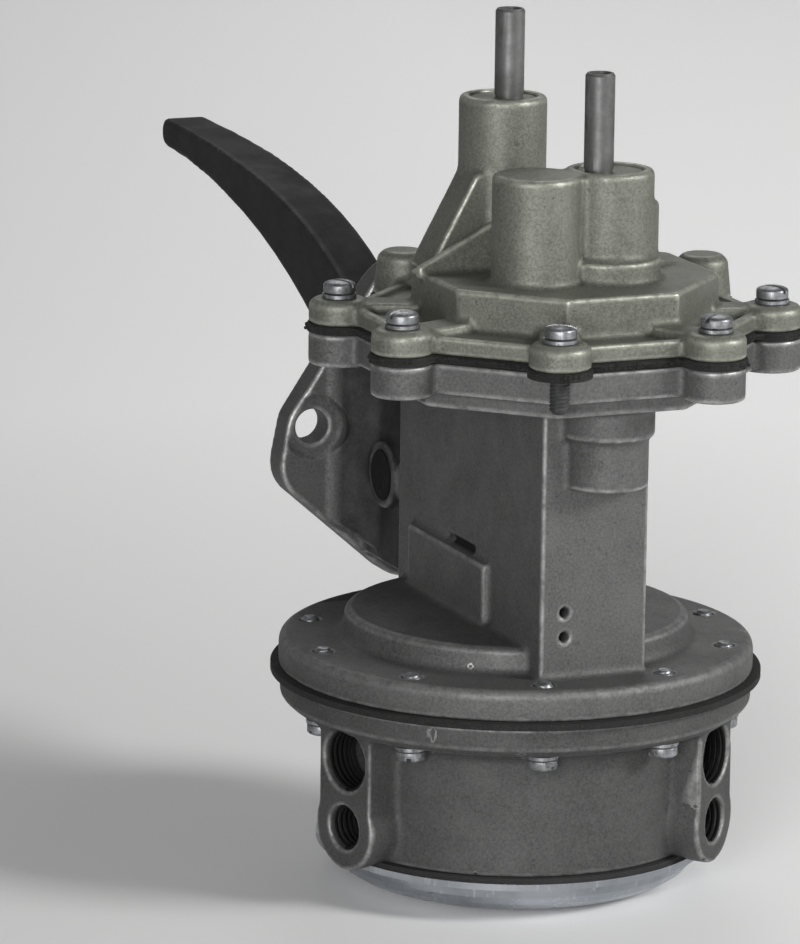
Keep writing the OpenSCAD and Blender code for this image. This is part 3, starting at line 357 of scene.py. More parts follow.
def shader_groups():
    """Builds the shared shader groups once."""
    if not GROUPS:
        GROUPS["grain"] = build_grain_group()
        GROUPS["wear"] = build_wear_group()
        GROUPS["marks"] = build_scratch_group()
    return GROUPS


def place_group(tree, key, **values):
    """A shared group placed in a material with its own values."""
    node = tree.nodes.new("ShaderNodeGroup")
    node.node_tree = shader_groups()[key]
    for label, value in values.items():
        node.inputs[label.replace("_", " ")].default_value = value
    return node


def mix_color(tree, factor, first, second, blend="MIX"):
    """A colour mix; colours are tuples or sockets."""
    node = tree.nodes.new("ShaderNodeMix")
    node.data_type = "RGBA"
    node.blend_type = blend
    if hasattr(factor, "links"):
        tree.links.new(factor, node.inputs["Factor"])
    else:
        node.inputs["Factor"].default_value = factor
    for label, value in (("A", first), ("B", second)):
        socket = [s for s in node.inputs if s.name == label and s.type == "RGBA"][0]
        if hasattr(value, "links"):
            tree.links.new(value, socket)
        else:
            socket.default_value = (*value[:3], 1.0)
    return [s for s in node.outputs if s.type == "RGBA"][0]


def new_material(name):
    """A material with a bare Principled shader; returns material, tree and shader."""
    material = bpy.data.materials.new(name)
    material.use_nodes = True
    tree = material.node_tree
    shader = tree.nodes["Principled BSDF"]
    return material, tree, shader


def add_bump(tree, shader, height, strength, distance):
    """A bump from a height, in metres, on the shader's normal."""
    bump = tree.nodes.new("ShaderNodeBump")
    bump.inputs["Strength"].default_value = strength
    bump.inputs["Distance"].default_value = distance
    tree.links.new(height, bump.inputs["Height"])
    tree.links.new(bump.outputs["Normal"], shader.inputs["Normal"])


def band_mask(tree, axis, rise, fall):
    """A mask that is 1 between two soft borders along an axis, given in metres."""
    coord = tree.nodes.new("ShaderNodeTexCoord").outputs["Object"]
    parts = tree.nodes.new("ShaderNodeSeparateXYZ")
    tree.links.new(coord, parts.inputs[0])
    value = parts.outputs[axis]
    return math_node(tree, "MULTIPLY", ramp_node(tree, value, *rise),
                     ramp_node(tree, value, *fall, 1.0, 0.0))


def box_mask(tree, low, high, soft=0.3):
    """A mask that is 1 inside a box with soft sides, given in mm."""
    mask = 1.0
    for axis, a, b in zip("XYZ", low, high):
        band = band_mask(tree, axis, ((a - soft) * MM, (a + soft) * MM),
                         ((b - soft) * MM, (b + soft) * MM))
        mask = math_node(tree, "MULTIPLY", band, mask)
    return mask


def cast_material(name, base, dark, bright, roughness, depth, edge=0.7, shade_band=None,
                  shade_boxes=()):
    """Grey casting with grain, painted shade with some grime in the hollows, and worn edges
    brightened, which also paints edge highlights.
    """
    material, tree, shader = new_material(name)
    grain = place_group(tree, "grain")
    wear = place_group(tree, "wear")
    blotched = mix_color(tree, math_node(tree, "MULTIPLY", grain.outputs["Blotch"], 0.6),
                         base, dark)
    specked = mix_color(tree, math_node(tree, "MULTIPLY", grain.outputs["Specks"], 0.55),
                        blotched, [c * 1.75 for c in base])
    pitted = mix_color(tree, math_node(tree, "MULTIPLY", grain.outputs["Pits"], 0.4),
                       specked, [c * 0.6 for c in dark])
    # Painted shade, with some grime: the hollows darkened
    shaded = mix_color(tree, math_node(tree, "MULTIPLY", wear.outputs["Hollow"], 0.8),
                      pitted, [c * 0.3 for c in dark])
    worn = math_node(tree, "MULTIPLY", wear.outputs["Edge"], edge)
    # Painted shade: a band along one axis darkened nearly to black, with its edges kept from
    # brightening
    if shade_band:
        band_shade = math_node(tree, "MULTIPLY", band_mask(tree, *shade_band),
                         ramp_node(tree, grain.outputs["Blotch"], 0.0, 1.0, 0.65, 0.95))
        shaded = mix_color(tree, band_shade, shaded, [c * 0.22 for c in dark])
        worn = math_node(tree, "MULTIPLY", worn, ramp_node(tree, band_shade, 0.0, 1.0, 1.0, 0.1))
    # Worn edges brightened, also as painted edge highlights
    worn_and_highlit = mix_color(tree, worn, shaded, bright)
    # Painted shade: boxes over recesses darkened nearly to black
    for low, high in shade_boxes:
        worn_and_highlit = mix_color(tree, box_mask(tree, low, high), worn_and_highlit, [c * 0.1 for c in dark])
    tree.links.new(worn_and_highlit, shader.inputs["Base Color"])
    rough = math_node(tree, "SUBTRACT", roughness + 0.08,
                      math_node(tree, "MULTIPLY", wear.outputs["Edge"], 0.25))
    rough = math_node(tree, "ADD", rough,
                      math_node(tree, "MULTIPLY", grain.outputs["Blotch"], 0.10), clamp=True)
    tree.links.new(rough, shader.inputs["Roughness"])
    shader.inputs["Metallic"].default_value = 0.55
    add_bump(tree, shader, grain.outputs["Height"], 0.55, depth)
    return material


def plated_material(name, base, dull, roughness, metallic=0.9, bump=0.00004, smear=60.0,
                    dark_band=None):
    """Zinc-plated or oiled metal with smears and fine scratches."""
    material, tree, shader = new_material(name)
    marks = place_group(tree, "marks", Smear_Scale=smear)
    color = mix_color(tree, marks.outputs["Smear"], base, dull)
    scratched = mix_color(tree, math_node(tree, "MULTIPLY", marks.outputs["Scratch"], 0.35),
                          color, [min(1.0, c * 1.6) for c in base])
    rough = math_node(tree, "ADD", roughness,
                      math_node(tree, "MULTIPLY", marks.outputs["Smear"], 0.18), clamp=True)
    # Darker and rougher in a band of heights
    if dark_band:
        mask = math_node(tree, "MULTIPLY", band_mask(tree, *dark_band), 0.85)
        scratched = mix_color(tree, mask, scratched, (0.045, 0.045, 0.043))
        rough = math_node(tree, "ADD", rough, math_node(tree, "MULTIPLY", mask, 0.4), clamp=True)
    tree.links.new(scratched, shader.inputs["Base Color"])
    tree.links.new(rough, shader.inputs["Roughness"])
    shader.inputs["Metallic"].default_value = metallic
    add_bump(tree, shader, marks.outputs["Scratch"], 0.4, bump)
    return material


def cloth_material(name, base, fray):
    """Rubberised cloth whose cut edge shows its fibres."""
    material, tree, shader = new_material(name)
    fine = noise_node(tree, 2600.0, 4.0, 0.7)
    broad = noise_node(tree, 180.0, 4.0, 0.6)
    color = mix_color(tree, ramp_node(tree, fine, 0.5, 0.72), base, fray)
    dusty = mix_color(tree, ramp_node(tree, broad, 0.5, 0.75, 0.0, 0.35), color, fray)
    tree.links.new(dusty, shader.inputs["Base Color"])
    shader.inputs["Roughness"].default_value = 0.9
    add_bump(tree, shader, fine, 0.8, 0.0002)
    return material


MATERIALS = {}


def material_for(key):
    """The object's finishes, each made once."""
    if key in MATERIALS:
        return MATERIALS[key]
    look = bpy.context.scene.pump_finish
    if key == "lower casting":
        base = tuple(look.lower_color)
        made = cast_material("Lower casting", base, [c * 0.5 for c in base],
                             [c * 4.6 for c in base], look.cast_roughness,
                             look.grain_depth * MM, 0.85,
                             # Painted shadow: the neck towards the engine flange (Y 43 to 69 mm)
                             # darkened; painted shade in the bleed slot
                             ("Y", (0.0432, 0.044), (0.067, 0.069)), [SHADED_BLEED_SLOT])
    elif key == "valve casting":
        base = [c * 0.72 for c in look.lower_color]
        made = cast_material("Valve casting", base, [c * 0.5 for c in base],
                             [c * 4.6 for c in base], look.cast_roughness + 0.04,
                             look.grain_depth * MM, 0.85)
    elif key == "cover casting":
        base = tuple(look.cover_color)
        made = cast_material("Cover casting", base, [c * 0.48 for c in base],
                             [c * 3.2 for c in base], look.cast_roughness - 0.06,
                             look.grain_depth * MM, 0.85)
    elif key == "zinc":
        made = plated_material("Zinc plate", [c * 0.7 for c in look.zinc_color],
                               (0.12, 0.12, 0.115), 0.36, smear=420.0,
                               # Darker and rougher between 118 and 140 mm up
                               dark_band=("Z", (0.118, 0.120), (0.1395, 0.1400)))
    elif key == "cap zinc":
        made = plated_material("Cap zinc", [c * 0.92 for c in look.zinc_color],
                               (0.26, 0.29, 0.32), 0.22, 1.0, 0.00001, 26.0)
    # Near black: painted shade inside the port mouths and on the pin plugs
    elif key == "painted shade black":
        made = cast_material("Port thread", (0.006, 0.006, 0.006), (0.003, 0.003, 0.003),
                             (0.03, 0.03, 0.029), 0.75, 0.00008, 0.5)
    elif key == "tube steel":
        made = plated_material("Tube steel", (0.16, 0.163, 0.16), (0.09, 0.09, 0.088), 0.42, 0.6,
                               smear=160.0)
    elif key == "arm":
        base = tuple(look.arm_color)
        made = cast_material("Forged arm", base, [c * 0.6 for c in base],
                             [c * 2.4 for c in base], 0.55, 0.00007, 0.7,
                             # Painted shade: the arm darkened from X -5 mm on, so its left face
                             # stays lighter
                             ("X", (-0.0052, -0.0046), (0.03, 0.04)))
    elif key == "dark steel":
        made = plated_material("Dark steel", (0.045, 0.044, 0.043), (0.09, 0.087, 0.083), 0.42,
                               0.6)
    elif key == "cloth":
        made = cloth_material("Diaphragm cloth", (0.006, 0.006, 0.006), (0.035, 0.033, 0.03))
    elif key == "brass":
        made = plated_material("Brass", (0.55, 0.38, 0.16), (0.32, 0.22, 0.10), 0.35)
    elif key == "rubber":
        made = cloth_material("Rubber", (0.015, 0.015, 0.015), (0.035, 0.034, 0.033))
    else:
        raise KeyError(key)
    MATERIALS[key] = made
    return made


SLOT_FINISH = {
    "lower_casting": "lower casting",
    "cover_casting": "cover casting",
    "zinc": "zinc",
    "dark_steel": "dark steel",
    "brass": "brass",
    "rubber": "rubber",
    "cloth": "cloth",
}


# ---------------------------------------------------------------- geometry nodes

def ring_tree(name):
    """Geometry nodes that set an object round a ring of evenly spaced places."""
    tree = bpy.data.node_groups.new(name, "GeometryNodeTree")
    face = tree.interface
    face.new_socket("Geometry", in_out="INPUT", socket_type="NodeSocketGeometry")
    for label, kind, value in (("Places", "NodeSocketInt", 8), ("Kept", "NodeSocketInt", 5),
                               ("Ring Radius", "NodeSocketFloat", 0.05),
                               ("Start Angle", "NodeSocketFloat", 0.0),
                               ("Turn Spread", "NodeSocketFloat", 3.0),
                               ("Lean", "NodeSocketFloat", 0.0),
                               ("Seed", "NodeSocketInt", 3)):
        face.new_socket(label, in_out="INPUT", socket_type=kind).default_value = value
    face.new_socket("Middle", in_out="INPUT", socket_type="NodeSocketVector")
    face.new_socket("Pattern", in_out="INPUT", socket_type="NodeSocketObject")
    face.new_socket("Finish", in_out="INPUT", socket_type="NodeSocketMaterial")
    face.new_socket("Geometry", in_out="OUTPUT", socket_type="NodeSocketGeometry")
    nodes, link = tree.nodes, tree.links.new
    into, out = nodes.new("NodeGroupInput"), nodes.new("NodeGroupOutput")

    def maths(operation, first, second):
        node = nodes.new("ShaderNodeMath")
        node.operation = operation
        for index, value in enumerate((first, second)):
            if hasattr(value, "links"):
                link(value, node.inputs[index])
            elif value is not None:
                node.inputs[index].default_value = value
        return node.outputs[0]

    index = nodes.new("GeometryNodeInputIndex").outputs[0]
    step = maths("DIVIDE", 2 * math.pi, into.outputs["Places"])
    angle = maths("ADD", into.outputs["Start Angle"], maths("MULTIPLY", index, step))
    place = nodes.new("ShaderNodeCombineXYZ")
    link(maths("MULTIPLY", into.outputs["Ring Radius"], maths("COSINE", angle, None)),
         place.inputs["X"])
    link(maths("MULTIPLY", into.outputs["Ring Radius"], maths("SINE", angle, None)),
         place.inputs["Y"])
    shifted = nodes.new("ShaderNodeVectorMath")
    shifted.operation = "ADD"
    link(place.outputs[0], shifted.inputs[0])
    link(into.outputs["Middle"], shifted.inputs[1])
    points = nodes.new("GeometryNodePoints")
    link(into.outputs["Kept"], points.inputs["Count"])
    link(shifted.outputs[0], points.inputs["Position"])
    turn = nodes.new("FunctionNodeRandomValue")
    turn.data_type = "FLOAT"
    link(into.outputs["Turn Spread"], turn.inputs[3])
    link(into.outputs["Seed"], turn.inputs["Seed"])
    lean = nodes.new("FunctionNodeRandomValue")
    lean.data_type = "FLOAT_VECTOR"
    spread = nodes.new("ShaderNodeCombineXYZ")
    link(into.outputs["Lean"], spread.inputs["X"])
    link(into.outputs["Lean"], spread.inputs["Y"])
    link(spread.outputs[0], lean.inputs[1])
    link(into.outputs["Seed"], lean.inputs["Seed"])
    aim = nodes.new("ShaderNodeCombineXYZ")
    parts = nodes.new("ShaderNodeSeparateXYZ")
    link(lean.outputs[0], parts.inputs[0])
    link(parts.outputs["X"], aim.inputs["X"])
    link(parts.outputs["Y"], aim.inputs["Y"])
    link([s for s in turn.outputs if s.type == "VALUE" and s.enabled][0], aim.inputs["Z"])
    pattern = nodes.new("GeometryNodeObjectInfo")
    link(into.outputs["Pattern"], pattern.inputs["Object"])
    spread_out = nodes.new("GeometryNodeInstanceOnPoints")
    link(points.outputs[0], spread_out.inputs["Points"])
    link(pattern.outputs["Geometry"], spread_out.inputs["Instance"])
    link(aim.outputs[0], spread_out.inputs["Rotation"])
    real = nodes.new("GeometryNodeRealizeInstances")
    link(spread_out.outputs[0], real.inputs[0])
    finish = nodes.new("GeometryNodeSetMaterial")
    link(real.outputs[0], finish.inputs["Geometry"])
    link(into.outputs["Finish"], finish.inputs["Material"])
    link(finish.outputs[0], out.inputs[0])
    return tree


def ring_of(name, pattern, middle, radius, start, places, kept, material, spread=3.0,
            lean=0.0, seed=3):
    """Copies of a pattern object round a ring, as one plain mesh; the pattern is used up."""
    tree = bpy.data.node_groups.get("Ring of fasteners") or ring_tree("Ring of fasteners")
    piece = new_object(name, bpy.data.meshes.new(name))
    modifier = piece.modifiers.new("Ring", "NODES")
    modifier.node_group = tree
    values = {"Places": places, "Kept": kept, "Ring Radius": radius * MM,
              "Start Angle": math.radians(start), "Turn Spread": spread, "Lean": lean,
              "Seed": seed, "Middle": [c * MM for c in middle], "Pattern": pattern,
              "Finish": material}
    for item in tree.interface.items_tree:
        if item.in_out == "INPUT" and item.name in values:
            modifier[item.identifier] = values[item.name]
    bake_modifiers(piece)
    bpy.data.objects.remove(pattern)
    return piece


def helix_tree(name):
    """Geometry nodes that sweep a three-cornered ridge along a helix."""
    tree = bpy.data.node_groups.new(name, "GeometryNodeTree")
    face = tree.interface
    face.new_socket("Geometry", in_out="INPUT", socket_type="NodeSocketGeometry")
    for label, value in (("Radius", 0.007), ("Ridge", 0.0006), ("Pitch", 0.0014),
                         ("Turns", 7.0)):
        face.new_socket(label, in_out="INPUT", socket_type="NodeSocketFloat").default_value = value
    face.new_socket("Finish", in_out="INPUT", socket_type="NodeSocketMaterial")
    face.new_socket("Geometry", in_out="OUTPUT", socket_type="NodeSocketGeometry")
    nodes, link = tree.nodes, tree.links.new
    into, out = nodes.new("NodeGroupInput"), nodes.new("NodeGroupOutput")
    spiral = nodes.new("GeometryNodeCurveSpiral")
    spiral.inputs["Resolution"].default_value = 48
    link(into.outputs["Turns"], spiral.inputs["Rotations"])
    link(into.outputs["Radius"], spiral.inputs["Start Radius"])
    link(into.outputs["Radius"], spiral.inputs["End Radius"])
    rise = nodes.new("ShaderNodeMath")
    rise.operation = "MULTIPLY"
    link(into.outputs["Turns"], rise.inputs[0])
    link(into.outputs["Pitch"], rise.inputs[1])
    link(rise.outputs[0], spiral.inputs["Height"])
    section = nodes.new("GeometryNodeCurvePrimitiveCircle")
    section.inputs["Resolution"].default_value = 3
    link(into.outputs["Ridge"], section.inputs["Radius"])
    sweep = nodes.new("GeometryNodeCurveToMesh")
    sweep.inputs["Fill Caps"].default_value = True
    link(spiral.outputs[0], sweep.inputs["Curve"])
    link(section.outputs[0], sweep.inputs["Profile Curve"])
    real = nodes.new("GeometryNodeRealizeInstances")
    link(sweep.outputs[0], real.inputs[0])
    finish = nodes.new("GeometryNodeSetMaterial")
    link(real.outputs[0], finish.inputs["Geometry"])
    link(into.outputs["Finish"], finish.inputs["Material"])
    link(finish.outputs[0], out.inputs[0])
    return tree


def thread_of(name, radius, ridge, pitch, turns, place, material):
    """A thread's ridge as a plain mesh, set by a matrix in millimetres."""
    tree = bpy.data.node_groups.get("Port thread") or helix_tree("Port thread")
    piece = new_object(name, bpy.data.meshes.new(name))
    modifier = piece.modifiers.new("Thread", "NODES")
    modifier.node_group = tree
    values = {"Radius": radius * MM, "Ridge": ridge * MM, "Pitch": pitch * MM, "Turns": turns,
              "Finish": material}
    for item in tree.interface.items_tree:
        if item.in_out == "INPUT" and item.name in values:
            modifier[item.identifier] = values[item.name]
    bake_modifiers(piece)
    scale = Matrix.Scale(MM, 4)
    piece.data.transform(scale @ place @ scale.inverted())
    return piece


def fused(name, pieces):
    """Several pieces as one mesh; the pieces are used up."""
    form = bmesh.new()
    for piece in pieces:
        form.from_mesh(piece.data)
    bmesh.ops.recalc_face_normals(form, faces=form.faces)
    mesh = bpy.data.meshes.new(name)
    form.to_mesh(mesh)
    form.free()
    for piece in pieces:
        bpy.data.objects.remove(piece)
    return new_object(name, mesh)


# ---------------------------------------------------------------- screws

def slotted_head(name, head_radius, head_height, slot_width, shank, thread_from, radius,
                 washer):
    """A fillister-head screw with a lock washer under it; the washer's foot is at z 0."""
    dome = [(head_radius * math.cos(math.radians(a)) ** 0.8 if a < 90 else 0.0,
             washer + head_height * (0.62 + 0.38 * math.sin(math.radians(a))))
            for a in range(0, 91, 10)]
    head = lathe([(0.0, washer), (head_radius * 0.93, washer),
                  (head_radius, washer + 0.3)] + dome[:-1] + [(0.0, dome[-1][1])],
                 48, close_ends=False)
    piece = mesh_object(name, *head)
    cutter = mesh_object(name + " slot", [
        (x, y, z) for x in (-head_radius * 2, head_radius * 2)
        for y in (-slot_width / 2, slot_width / 2)
        for z in (washer + head_height * 0.48, washer + head_height * 2)],
        [(0, 1, 3, 2), (4, 6, 7, 5), (0, 4, 5, 1), (2, 3, 7, 6), (0, 2, 6, 4), (1, 5, 7, 3)],
        smooth=False)
    cut = piece.modifiers.new("Slot", "BOOLEAN")
    cut.object = cutter
    cut.operation = "DIFFERENCE"
    round_over = piece.modifiers.new("Edges", "BEVEL")
    round_over.width = 0.12 * MM
    round_over.segments = 2
    round_over.angle_limit = math.radians(35)
    bake_modifiers(piece)
    bpy.data.objects.remove(cutter)
    form = bmesh.new()
    form.from_mesh(piece.data)
    for points, faces in (
            threaded_rod(radius, 0.30, 0.9, -shank, thread_from),
            split_washer(head_radius + 0.25, radius + 0.05, washer)):
        made = [form.verts.new(Vector(p) * MM) for p in points]
        for face in faces:
            form.faces.new([made[i] for i in face])
    bmesh.ops.recalc_face_normals(form, faces=form.faces)
    form.to_mesh(piece.data)
    form.free()
    return sharpen(piece, 40)


def split_washer(outer, inner, height, gap=14.0, segments=44):
    """A helical spring washer with a narrow split."""
    points, faces = [], []
    for k in range(segments + 1):
        turn = k / segments
        angle = math.radians(gap / 2 + (360 - gap) * turn)
        rise = height * 0.16 * (turn - 0.5)
        low, high = height * 0.08 + rise, height * 0.92 + rise
        for r, z in ((inner, low), (outer - 0.12, low), (outer, low + 0.12),
                     (outer, high - 0.12), (outer - 0.12, high), (inner, high)):
            points.append((r * math.cos(angle), r * math.sin(angle), z))
    for k in range(segments):
        for i in range(6):
            j = (i + 1) % 6
            faces.append((k * 6 + i, (k + 1) * 6 + i, (k + 1) * 6 + j, k * 6 + j))
    faces.append([0, 1, 2, 3, 4, 5])
    faces.append([segments * 6 + i for i in (5, 4, 3, 2, 1, 0)])
    return points, faces


# ---------------------------------------------------------------- cloth edges

def lobed_radius(angle, apothem, ring, lobe):
    """Distance from the axis to an octagonal outline with lobes, in a direction."""
    turn = math.radians(45)
    nearest = (angle + turn / 2) % turn - turn / 2
    flat = apothem / math.cos(nearest)
    off = (angle - math.radians(22.5) + turn / 2) % turn - turn / 2
    side = ring * math.sin(off)
    if abs(side) < lobe:
        return max(flat, ring * math.cos(off) + math.sqrt(lobe * lobe - side * side))
    return flat


def cloth_edge(name, middle, outline, layers, inner_gap, samples, ragged):
    """The cut edge of a layered diaphragm: thin uneven bands that stick out."""
    parts = []
    for number, (low, high, out) in enumerate(layers):
        points, faces = [], []
        for k in range(samples):
            angle = 2 * math.pi * k / samples
            here = Vector((math.cos(angle) * 22, math.sin(angle) * 22, number * 7.3))
            wave = noise.noise(here * 0.35) + 0.8 * noise.noise(here * 2.1)
            fray = max(0.0, noise.noise(here * 4.3 + Vector((5, 9, 2)))) * 2.2
            reach = outline(angle) + out + ragged * (0.6 * wave + fray)
            lift = ragged * 0.45 * noise.noise(here * 1.3 + Vector((1, 4, 8)))
            mid = (low + high) / 2 + lift
            for r, z in ((outline(angle) - inner_gap, low), (reach - 0.18, low + 0.03 + lift),
                         (reach, mid), (reach - 0.15, high - 0.03 + lift),
                         (outline(angle) - inner_gap, high)):
                points.append((middle[0] + r * math.cos(angle),
                               middle[1] + r * math.sin(angle), middle[2] + z))
        for k in range(samples):
            nxt = (k + 1) % samples
            for i in range(5):
                j = (i + 1) % 5
                faces.append((k * 5 + i, nxt * 5 + i, nxt * 5 + j, k * 5 + j))
        parts.append((points, faces))
    return mesh_object(name, *joined(parts))


# ---------------------------------------------------------------- properties

class CastingSizes(PropertyGroup):
    """How the castings' skins are made."""
    fillet: FloatProperty(name="Inner fillet", description="Radius of cast inner corners, mm",
                          default=0.6, min=0.2, max=1.5)
    voxel: FloatProperty(name="Skin detail", description="Size of the skin's cells, mm",
                         default=0.5, min=0.4, max=1.5)
    soften: IntProperty(name="Edge rounding", description="Smoothing passes over worn edges",
                        default=2, min=0, max=12)
    thread_pitch: FloatProperty(name="Port thread pitch", description="Pitch of the threads "
                                "in the ports, mm", default=1.41, min=1.0, max=2.0)


class FastenerSizes(PropertyGroup):
    """Sizes of the screws."""
    head_radius: FloatProperty(name="Head radius", description="Radius of a screw head, mm",
                               default=3.85, min=3.5, max=5.0)
    head_height: FloatProperty(name="Head height", description="Height of a screw head, mm",
                               default=3.0, min=2.0, max=4.0)
    slot_width: FloatProperty(name="Slot width", description="Width of the driver slot, mm",
                              default=1.1, min=0.8, max=1.6)
    shank_radius: FloatProperty(name="Shank radius", description="Radius of a screw, mm",
                                default=2.4, min=2.0, max=2.6)
    washer: FloatProperty(name="Washer height", description="Thickness of a lock washer, mm",
                          default=1.2, min=0.8, max=1.5)


class ClothSizes(PropertyGroup):
    """How the diaphragms' edges are frayed."""
    ragged: FloatProperty(name="Raggedness", description="How far the cloth's edge wanders, mm",
                          default=0.6, min=0.0, max=1.2)


class Finish(PropertyGroup):
    """Colours and roughness of the finishes."""
    lower_color: FloatVectorProperty(name="Lower castings", description="Colour of the housings",
                                     subtype="COLOR", default=(0.104, 0.105, 0.103),
                                     min=0.0, max=1.0)
    cover_color: FloatVectorProperty(name="Cover", description="Colour of the vacuum cover",
                                     subtype="COLOR", default=(0.158, 0.162, 0.138),
                                     min=0.0, max=1.0)
    zinc_color: FloatVectorProperty(name="Zinc", description="Colour of zinc-plated pieces",
                                    subtype="COLOR", default=(0.56, 0.58, 0.62),
                                    min=0.0, max=1.0)
    arm_color: FloatVectorProperty(name="Arm", description="Colour of the rocker arm",
                                   subtype="COLOR", default=(0.022, 0.022, 0.022),
                                   min=0.0, max=1.0)
    cast_roughness: FloatProperty(name="Casting roughness", description="Roughness of castings",
                                  subtype="FACTOR", default=0.48, min=0.2, max=1.0)
    grain_depth: FloatProperty(name="Grain depth", description="Depth of the cast grain, mm",
                               default=0.16, min=0.0, max=0.5)


class Stage(PropertyGroup):
    """Floor, light and lens."""
    floor_color: FloatVectorProperty(name="Floor", description="Colour of floor and backdrop",
                                     subtype="COLOR", default=(0.93, 0.93, 0.93),
                                     min=0.0, max=1.0)
    key_power: FloatProperty(name="Key light", description="Power of the main soft light",
                             subtype="POWER", unit="POWER", default=27.0, min=0.0, max=200.0)
    sky: FloatProperty(name="Room light", description="Strength of the light from all round",
                       default=0.13, min=0.0, max=2.0)
    lens: FloatProperty(name="Lens", description="Focal length", subtype="DISTANCE_CAMERA",
                        default=235.3, min=50.0, max=400.0)


# ---------------------------------------------------------------- operators

class PUMP_OT_finish_nodes(Operator):
    """Give every construction piece its finish"""
    bl_idname = "fuel_pump.finish_nodes"
    bl_label = "Finish the construction pieces"

    def execute(self, context):
        slots = {s["node"]: s["material_slot"] for s in frame["record"]["subparts"]}
        for name, piece in frame["nodes"].items():
            finish = SLOT_FINISH[slots[name]]
            piece.data.materials.clear()
            piece.data.materials.append(material_for(finish))
        # The pin plugs take the near-black painted shade of the port threads
        for name, finish in (("pulsator_cap", "cap zinc"), ("pin_plugs", "painted shade black"),
                             ("vacuum_inlet_tube", "tube steel"),
                             ("vacuum_outlet_tube", "tube steel")):
            frame["nodes"][name].data.materials[0] = material_for(finish)
        return {"FINISHED"}


class PUMP_OT_castings(Operator):
    """Grow the skins of the three castings over their solids"""
    bl_idname = "fuel_pump.castings"
    bl_label = "Castings"

    def execute(self, context):
        sizes = context.scene.pump_castings
        for name, node, finish, slot in (
                ("valve_casting", "valve_housing", "valve casting", "lower_casting"),
                ("body_casting", "rocker_housing", "lower casting", "lower_casting"),
                ("cover_skin", "vacuum_cover", "cover casting", "cover_casting")):
            skin = cast_skin(name, node, sizes.voxel, sizes.fillet, sizes.soften, 190000)
            dress(skin, material_for(finish), "housing", node)
        return {"FINISHED"}


class PUMP_OT_port_threads(Operator):
    """Cut the look of pipe threads into the mouths of the four ports"""
    bl_idname = "fuel_pump.port_threads"
    bl_label = "Port threads"

    def execute(self, context):
        pitch = context.scene.pump_castings.thread_pitch
        finish = material_for("painted shade black")
        ridges = []
        for angle in PORT_ANGLES:
            for height, radius in PORTS:
                turns = 6.0
                inward = PORT_FACE - 0.9 - turns * pitch
                place = (Matrix.Rotation(math.radians(angle), 4, "Z")
                         @ Matrix.Translation((inward, 0, height))
                         @ Matrix.Rotation(math.radians(90), 4, "Y"))
                ridges.append(thread_of("ridge", radius - 0.1, 0.62, pitch, turns, place, finish))
        dress(fused("port_threads", ridges), finish, "housing", None)
        return {"FINISHED"}


class PUMP_OT_arm(Operator):
    """Forge the rocker arm with softly rounded edges"""
    bl_idname = "fuel_pump.arm"
    bl_label = "Rocker arm"

    def execute(self, context):
        sizes = context.scene.pump_castings
        arm = cast_skin("forged_arm", "rocker_arm", sizes.voxel, 0.3, sizes.soften + 2, 90000)
        dress(arm, material_for("arm"), "arm", "rocker_arm")
        return {"FINISHED"}


class PUMP_OT_screws(Operator):
    """Set the slotted screws with their lock washers round both flanges"""
    bl_idname = "fuel_pump.screws"
    bl_label = "Screws"

    def execute(self, context):
        s = context.scene.pump_fasteners
        zinc = material_for("zinc")

        def pattern(name, shank, head=s.head_radius):
            return slotted_head(name, head, s.head_height, s.slot_width, shank, 0.0,
                                s.shank_radius, s.washer)

        front = ring_of("cover_screw_set", pattern("front pattern", 16.8),
                        (0, VACUUM_AXIS_Y, COVER_LOBE_TOP), LOBE_RING, 157.5, 8, 5, zinc, seed=4)
        dress(front, zinc, "housing", ["cover_screws", "cover_lock_washers"])
        flip = Matrix.Rotation(math.pi, 4, "X")
        for name, shank, head, middle, ring, start, places, kept, nodes in (
                ("rear_screw_set", 16.3, s.head_radius,
                 (0, VACUUM_AXIS_Y, VACUUM_JOINT - 8.0), LOBE_RING, 22.5,
                 8, 3, ["cover_rear_screws", "rear_lock_washers"]),
                ("housing_screw_set", 17.5, s.head_radius - 0.2,
                 (0, 0, VALVE_FLANGE_BOTTOM), 51.5, 2.0,
                 10, 10, ["housing_screws", "housing_lock_washers"])):
            upside = pattern(name + " pattern", shank, head)
            upside.data.transform(flip)
            made = ring_of(name, upside, middle, ring, start, places, kept, zinc, seed=7)
            dress(made, zinc, "housing", nodes)
        return {"FINISHED"}


class PUMP_OT_cloth(Operator):
    """Fray the edges of the two diaphragms"""
    bl_idname = "fuel_pump.cloth"
    bl_label = "Diaphragm edges"

    def execute(self, context):
        ragged = context.scene.pump_cloth.ragged
        lower = cloth_edge("fuel_cloth_edge", (0, 0, FUEL_JOINT), lambda a: 59.3,
                           [(0.05, 0.85, 0.0), (0.8, 1.55, 0.15)],
                           1.6, 1100, ragged * 0.55)
        dress(lower, material_for("cloth"), "housing", None)
        upper = cloth_edge("vacuum_cloth_edge", (0, VACUUM_AXIS_Y, VACUUM_JOINT),
                           lambda a: lobed_radius(a, PLATE_APOTHEM, LOBE_RING, LOBE_RADIUS),
                           [(0.2, 1.0, -0.1), (0.9, 1.8, 0.15)],
                           1.0, 1800, ragged)
        dress(upper, material_for("cloth"), "housing", None)
        return {"FINISHED"}


class PUMP_OT_soft_parts(Operator):
    """Put smooth-shaded copies of the springs and diaphragms in place of their nodes"""
    bl_idname = "fuel_pump.soft_parts"
    bl_label = "Springs and diaphragms"

    def execute(self, context):
        for node, joint, travel, anchor in SOFT_PARTS:
            piece = node_copy(node + "_soft", node)
            sharpen(piece)
            finish = frame["nodes"][node].data.materials[0]
            dress(piece, finish, "housing", node)
            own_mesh(piece)
        return {"FINISHED"}


